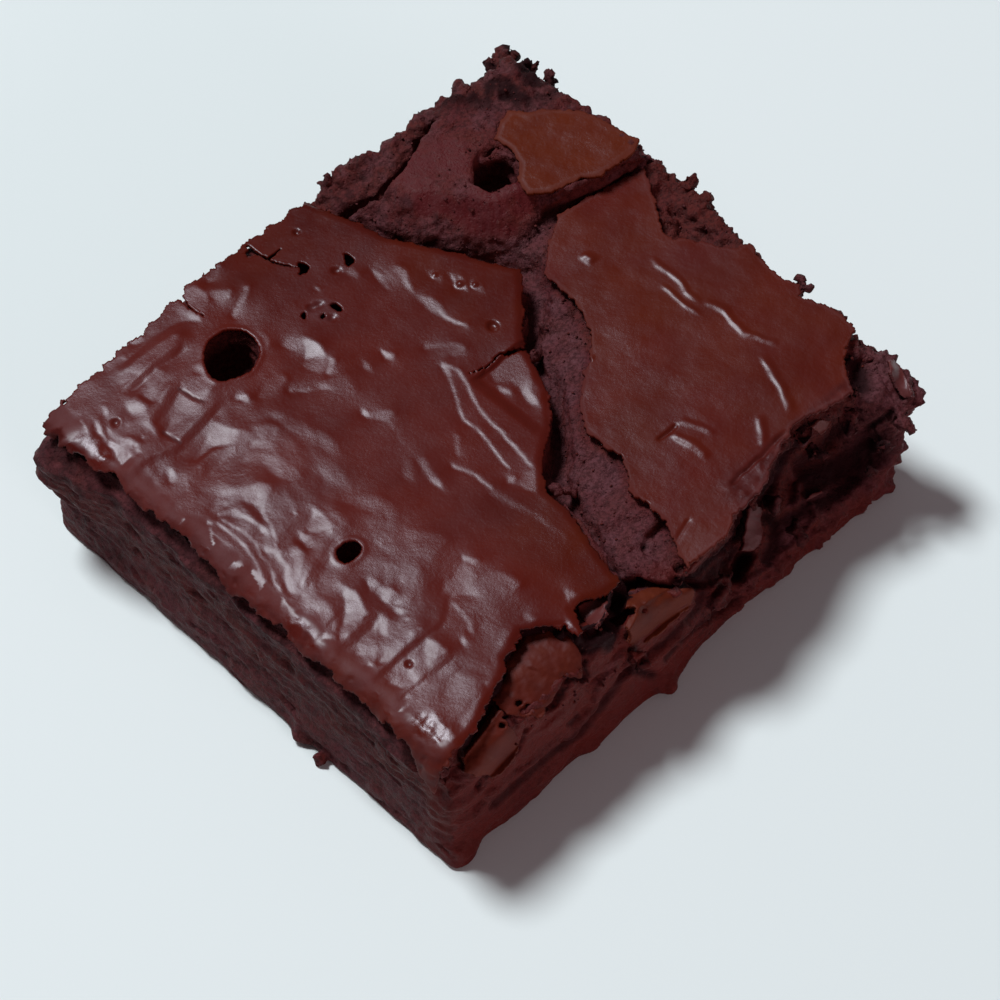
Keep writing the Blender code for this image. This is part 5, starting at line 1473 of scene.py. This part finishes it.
# Broken flakes on the front: outlines, ridges and pits are placed at the marks' height, the lift is
# above the crumb, and a flat flake doesn't follow its bulges
flakeSheet = {
    "cell": 0.12,
    "border": 0.4,
}
flakes = {
    "frontFlakeMiddle": {
        "outline": (
            (-21.3, -25.2), (-20.6, -24.8), (-20, -24.2), (-19.3, -23.6), (-18, -23.2), (-17, -22.9),
            (-16.2, -22.6), (-15.2, -22.9), (-14.3, -23.6), (-13.6, -24.5), (-13.2, -25.1),
            (-12.9, -25.6), (-13.2, -26.5), (-13.6, -27.5), (-14.0, -28.3), (-14.8, -29.3),
            (-15.3, -29.9), (-15.8, -30.3), (-16.2, -29.7), (-16.9, -28.8), (-17.2, -29.2), (-18, -29.4),
            (-19, -29.9), (-19.8, -30.2), (-20.6, -30.2), (-21.0, -30.6), (-21.6, -30.8), (-22.0, -30.5),
            (-22.4, -29.7), (-23.2, -29.2), (-23.7, -28.2), (-23.7, -27.0), (-23.5, -26.0),
            (-22.4, -25.6),
        ),
        "ridges": ((((-18.4, -25.0), (-17.8, -26.6), (-17.3, -27.9), (-16.8, -28.8)), 0.6, 3.2, 0.34),),
        "pits": (((-22.1, -28.1), 0.4, 1.5), ((-22.3, -29.1), 0.55, 1.6), ((-21.8, -29.0), 0.4, 1.4)),
        "lift": 0.5, "tan": 0.5, "paleTintAndSheen": 0.06,
    },
    "frontFlakeLeft": {
        "outline": (
            (-29.4, -27.7), (-28.5, -27.6), (-27.3, -27.3), (-26.2, -27.0), (-25.2, -26.6),
            (-24.4, -26.2), (-23.9, -26.2), (-23.9, -27.6), (-24.2, -28.3), (-24.6, -29.3),
            (-24.6, -30.0), (-25.0, -30.9), (-25.4, -31.6), (-26.0, -32.0), (-27.0, -32.4),
            (-28.0, -32.7), (-29.3, -32.9), (-30.0, -32.6), (-30.1, -32.0), (-30.4, -31.7),
            (-31.0, -31.3), (-30.8, -30.9), (-31.2, -30.4), (-31.3, -30.1), (-30.6, -29.5),
            (-29.9, -28.8),
        ),
        "ridges": ((((-29.6, -31.6), (-28.6, -29.6), (-27.6, -28.2)), 0.8, 2.4, 0.10),),
        "pits": (((-25.0, -28.8), 0.4, 1.2), ((-24.1, -28.3), 0.3, 1.0)),
        "lift": 0.55, "tan": 0.6, "paleTintAndSheen": 0.05,
    },
    "frontFlakeOrange": {
        "outline": (
            (-4.8, -26.1), (-4.2, -26.5), (-3.6, -27.1), (-3.0, -27.9), (-2.4, -28.8), (-1.8, -29.4),
            (-1.0, -30.0), (-0.7, -30.3), (-0.9, -30.8), (-1.4, -31.2), (-2.0, -31.7), (-2.6, -31.9),
            (-3.5, -31.8), (-4.3, -32.0), (-5.2, -31.9), (-6.6, -32.1), (-8.2, -31.9), (-9.6, -31.5),
            (-9.8, -30.7), (-9.0, -30.2), (-8.5, -29.3), (-8.5, -28.8), (-8.0, -28.5), (-7.0, -28.4),
            (-6.3, -28.1), (-6.4, -27.6), (-7.0, -27.3), (-6.2, -26.8), (-5.5, -26.4),
        ),
        "ridges": ((((-5.5, -29.4), (-5.0, -28.0), (-4.4, -26.8)), 0.5, 0.8, 0.22),),
        "pits": (((-6.0, -28.9), 0.35, 0.5),),
        "lift": 0.3, "tan": 1.0, "paleTintAndSheen": 0,
    },
    "frontFlap": {
        "outline": (
            (-10.0, -23.9), (-9.2, -24.2), (-8.2, -24.6), (-7.6, -25.0), (-7.0, -25.2), (-7.6, -25.7),
            (-8.6, -26.2), (-9.3, -26.6), (-10.0, -26.9), (-10.8, -26.7), (-11.0, -26.1), (-11.0, -25.3),
            (-10.7, -24.6),
        ),
        "ridges": (), "pits": (), "lift": 0.25, "tan": 0.05, "paleTintAndSheen": 0.4,
    },
    "hangingFlake": {
        "outline": (
            (10.6, -27.6), (11.2, -27.8), (11.4, -28.6), (11.1, -29.1), (10.4, -29.5), (9.9, -30.0),
            (9.5, -30.7), (9.0, -31.2), (8.2, -31.7), (7.2, -31.9), (6.8, -31.7), (6.3, -31.2),
            (6.1, -30.9), (7.0, -30.5), (7.5, -29.9), (8.2, -29.5), (8.8, -28.9), (9.6, -28.4),
            (10.1, -27.9),
        ),
        "ridges": (), "pits": (), "lift": 1.6, "tan": 0, "paleTintAndSheen": 0.6, "flat": True,
    },
    # the pale lavender on this fold is a painted sheen streak
    "cornerFold": {
        "outline": (
            (31.0, -28.9), (31.5, -27.2), (32.3, -25.6), (33.3, -24.4), (33.8, -24.8), (33.7, -25.8),
            (33.2, -26.9), (32.4, -28.2), (31.6, -29.3),
        ),
        "ridges": ((((31.5, -28.6), (32.3, -26.7), (33.3, -25.0)), 0.5, 0.7, 0.3),),
        "pits": (), "lift": 0.4, "tan": 0, "paleTintAndSheen": 0.75,
    },
    "sliver": {
        "outline": ((15.5, -31.3), (16.3, -31.1), (17.4, -31.5), (17.3, -31.8), (15.9, -31.6)),
        "ridges": (), "pits": (), "lift": 0.6, "tan": 0, "paleTintAndSheen": 0.6,
    },
    # this flake's pale mix paints a glint
    "glintFlake": {
        "outline": (
            (21.7, -25.0), (22.6, -24.8), (23.4, -25.1), (23.8, -25.8), (22.8, -26.2), (21.8, -26.3),
        ),
        "ridges": ((((22.5, -26.1), (22.9, -25.6), (23.4, -25.2)), 0.5, 0.6, 0.5),),
        "pits": (), "lift": 0.4, "tan": 0.9, "paleTintAndSheen": 0.5,
    },
}
bodyTree = BVHTree.FromObject(bpy.data.objects["crumbBody"], bpy.context.evaluated_depsgraph_get())


def heightOnBody(seen):  # the height at which each sight line first meets the crumb
    sightLine = np.array((*sightSlope, -1))
    startAbove = 13  # well above the crumb
    towards = Vector(sightLine).normalized()
    heights = np.full(len(seen), np.nan)
    for index, (u, v) in enumerate(seen):
        start = (np.array((u, v, markHeight)) - startAbove * sightLine - planMiddle) * mm
        spot = bodyTree.ray_cast(Vector(start), towards)[0]
        if spot is not None:
            heights[index] = spot.z / mm
    return heights


def layOnBody(seen, heights, found, curve):  # a smooth patch laid through the crumb, and its slopes
    u, v = (seen - seen.mean(axis=0)).T
    terms = np.column_stack([np.ones(len(u)), u, v, curve * u * u, curve * u * v, curve * v * v])
    weights = np.linalg.lstsq(terms[found], heights[found], rcond=None)[0]
    patch = np.clip(terms @ weights, heights[found].min() - 0.6, heights[found].max() + 0.3)
    slopeU = weights[1] + 2 * weights[3] * u + weights[4] * v
    slopeV = weights[2] + weights[4] * u + 2 * weights[5] * v
    return patch, np.column_stack([slopeU, slopeV])


def flakeRelief(flake, seen, edge, seed):
    points = atHeight(seen, markHeight)
    relief = 0.14 * rough(points, 2.2, seed + 3, 3) + 0.03 * rough(points, 0.7, seed + 5, 2)
    relief += 0.10 * creased(points * (1, 0.5, 1), 2.4, seed + 9) + ridgeRelief(seen, flake["ridges"])
    return relief + 0.3 * pitRelief(seen, flake["pits"]) - 0.10 * np.exp(-((edge / 0.3) ** 2))


def makeFlake(name):
    flake = flakes[name]
    outline = flake["outline"]
    seed = 500 + 20 * sorted(flakes).index(name)
    border = flakeSheet["border"]
    low, high = np.min(outline, axis=0) - border, np.max(outline, axis=0) + border

    def trim(plan):
        inside = depthInside(raggedPlan(plan, 0.07, seed), outline)
        for centre, radius, _ in flake["pits"]:
            away = np.linalg.norm(raggedPlan(plan, 0.1, seed + 2) - centre, axis=1)
            inside = np.minimum(inside, away - 0.7 * radius)
        return inside

    piece = cutSheet(name, {"low": low, "high": high, "cell": flakeSheet["cell"]}, trim)
    seen = readPoints(piece)[:, :2]
    heights = heightOnBody(seen)
    edge = depthInside(seen, outline)
    found = np.isfinite(heights) & (edge > 0.3 * edge.max())
    patch, slopes = layOnBody(seen, heights, found, 0.0 if flake.get("flat") else 1.0)
    proud = 0.5 * np.percentile((heights - patch)[found], 80)  # clears most bumps of the crumb
    relief = flake["lift"] + proud + flakeRelief(flake, seen, edge, seed)
    # the patch was measured on slanting sight lines, so its slopes are turned upright first
    sideways = 1 + slopes @ sightSlope
    normals = np.column_stack([-slopes / sideways[:, None], np.ones(len(seen))])
    normals /= np.linalg.norm(normals, axis=1)[:, None]
    rise = patch - markHeight + relief / np.clip(normals @ towardsCamera, 0.5, None)
    points = np.column_stack([seen - rise[:, None] * sightSlope, markHeight + rise])
    writePoints(piece, points)
    addShare(piece, "tan", flake["tan"] + 0.25 * rough(points, 2, seed + 7))
    # pale lavender mix: painted sheen on the corner fold and a painted glint on the glint flake, the
    # flakes' own pale tint elsewhere
    addShare(piece, "paleTintAndSheen", flake["paleTintAndSheen"] * (0.8 + 0.4 * rough(points, 2, seed + 11)))
    addShare(piece, "darkTintAndShade", 0.25 + 0.3 * rough(points, 2, seed + 13))
    addTone(piece, "dull", np.full(len(points), 0.3 - 0.3 * flake["paleTintAndSheen"]))
    finishWith(piece, "SOLIDIFY", thickness=square["crust"] * mm, offset=-1)
    placeFinish(piece, crustFinish)


for flakeName in flakes:
    makeFlake(flakeName)

# Loose crumbs on the rims, in the fissures and at the foot
crumbs = {
    "seed": 77,
    "count": 900,
    "smallest": 0.07,
    "largest": 0.22,
}


def makeLooseCrumbs():
    draw = np.random.default_rng(crumbs["seed"])
    bpy.ops.object.select_all(action="DESELECT")
    bpy.ops.mesh.primitive_ico_sphere_add(subdivisions=1, radius=1, location=(0, 0, 0))
    seedCrumb = bpy.context.object
    ball = np.array([vertex.co for vertex in seedCrumb.data.vertices])
    faces = np.array([polygon.vertices for polygon in seedCrumb.data.polygons])
    bpy.data.objects.remove(seedCrumb)
    bodyPoints = readPoints(bpy.data.objects["crumbBody"])
    bodyNormals = readNormals(bpy.data.objects["crumbBody"])
    plan = bodyPoints[:, :2]
    hidden = np.maximum(depthInside(plan, plates["left"]), depthInside(plan, plates["right"]))
    shown = (bodyPoints[:, 2] > 10) & (hidden < 0.8) & (bodyNormals[:, 2] > -0.2)
    chosen = draw.choice(np.flatnonzero(shown), crumbs["count"], replace=False)
    spread = draw.uniform(0, 1, crumbs["count"]) ** 3
    sizes = crumbs["smallest"] + (crumbs["largest"] - crumbs["smallest"]) * spread
    places = bodyPoints[chosen] + bodyNormals[chosen] * sizes[:, None] * 0.4
    shapes = ball[None] * draw.uniform(0.6, 1.3, (crumbs["count"], len(ball), 1))
    shapes = shapes * draw.uniform(0.7, 1.3, (crumbs["count"], 1, 3)) * sizes[:, None, None]
    points = (shapes + places[:, None]).reshape(-1, 3)
    allFaces = (faces[None] + len(ball) * np.arange(crumbs["count"])[:, None, None]).reshape(-1, 3)
    mesh = bpy.data.meshes.new("looseCrumbs")
    mesh.from_pydata(((points - planMiddle) * mm).tolist(), [], allFaces.tolist())
    piece = bpy.data.objects.new("looseCrumbs", mesh)
    bpy.context.scene.collection.objects.link(piece)
    addTone(piece, "warm", np.repeat(draw.uniform(0, 1, crumbs["count"]), len(ball)))
    addTone(piece, "pale", np.repeat(draw.uniform(0, 0.6, crumbs["count"]), len(ball)))
    for name in ("skin", "purple", "deep"):
        addTone(piece, name, np.zeros(len(points)))
    placeFinish(piece, crumbFinish)


makeLooseCrumbs()

# Floor, light and camera
studio = {
    "floorSize": 3.0,
    "floorColour": (0.80, 0.80, 0.80),
    "airColour": (1.0, 0.86, 0.91),
    "air": 0.085,
}
lamps = {
    "keyLamp": {
        "from": (-0.09, 0.48, 0.87),
        "away": 2.0,
        "size": 0.56,
        "power": 42.0,
        "colour": (0.86, 0.97, 1.0),
        "glare": True,
    },
    "frontLamp": {
        "from": (-0.1, -0.98, 0.17),
        "away": 1.6,
        "size": 0.9,
        "power": 9.0,
        "colour": (1.0, 0.86, 0.91),
        "glare": False,  # it fills the shadows without a shine of its own
    },
}
lens = {
    "target": (-3.226, -6.575, 9.0),
    "away": 430.0,
    "azimuth": -44.337,
    "elevation": 53.543,
    "focal": 155.3156,
}


def addLamp(name):
    facts = lamps[name]
    lamp = bpy.data.lights.new(name, "AREA")
    lamp.shape = "DISK"
    lamp.size = facts["size"]
    lamp.energy = facts["power"]
    lamp.color = facts["colour"]
    holder = bpy.data.objects.new(name, lamp)
    bpy.context.scene.collection.objects.link(holder)
    towards = Vector(facts["from"]).normalized()
    holder.location = towards * facts["away"]
    holder.rotation_euler = (-towards).to_track_quat("-Z", "Y").to_euler()
    holder.visible_glossy = facts["glare"]


def makeStudio():
    bpy.ops.object.select_all(action="DESELECT")
    bpy.ops.mesh.primitive_plane_add(size=studio["floorSize"], location=(0, 0, 0))
    floor = bpy.context.object
    floor.name = "floor"
    finish, _, shader = newFinish("pale floor")
    shader.inputs["Base Color"].default_value = (*studio["floorColour"], 1)
    shader.inputs["Roughness"].default_value = 0.6
    shader.inputs["Specular IOR Level"].default_value = 0.2
    floor.data.materials.append(finish)
    world = bpy.data.worlds.new("studio air")
    world.use_nodes = True
    sky = world.node_tree.nodes["Background"]
    sky.inputs["Color"].default_value = (*studio["airColour"], 1)
    sky.inputs["Strength"].default_value = studio["air"]
    bpy.context.scene.world = world
    for name in lamps:
        addLamp(name)


def makeCamera():
    azimuth, elevation = math.radians(lens["azimuth"]), math.radians(lens["elevation"])
    back = Vector((
        math.sin(azimuth) * math.cos(elevation),
        -math.cos(azimuth) * math.cos(elevation),
        math.sin(elevation),
    ))
    camera = bpy.data.objects.new("photoCamera", bpy.data.cameras.new("photoCamera"))
    camera.data.lens = lens["focal"]
    camera.data.sensor_width = 36
    camera.data.clip_start = 0.01
    camera.location = Vector(lens["target"]) * mm + back * lens["away"] * mm
    camera.rotation_euler = (-back).to_track_quat("-Z", "Y").to_euler()
    bpy.context.scene.collection.objects.link(camera)
    bpy.context.scene.camera = camera
    bpy.context.scene.view_settings.view_transform = "Standard"


makeStudio()
makeCamera()
print("scene done")
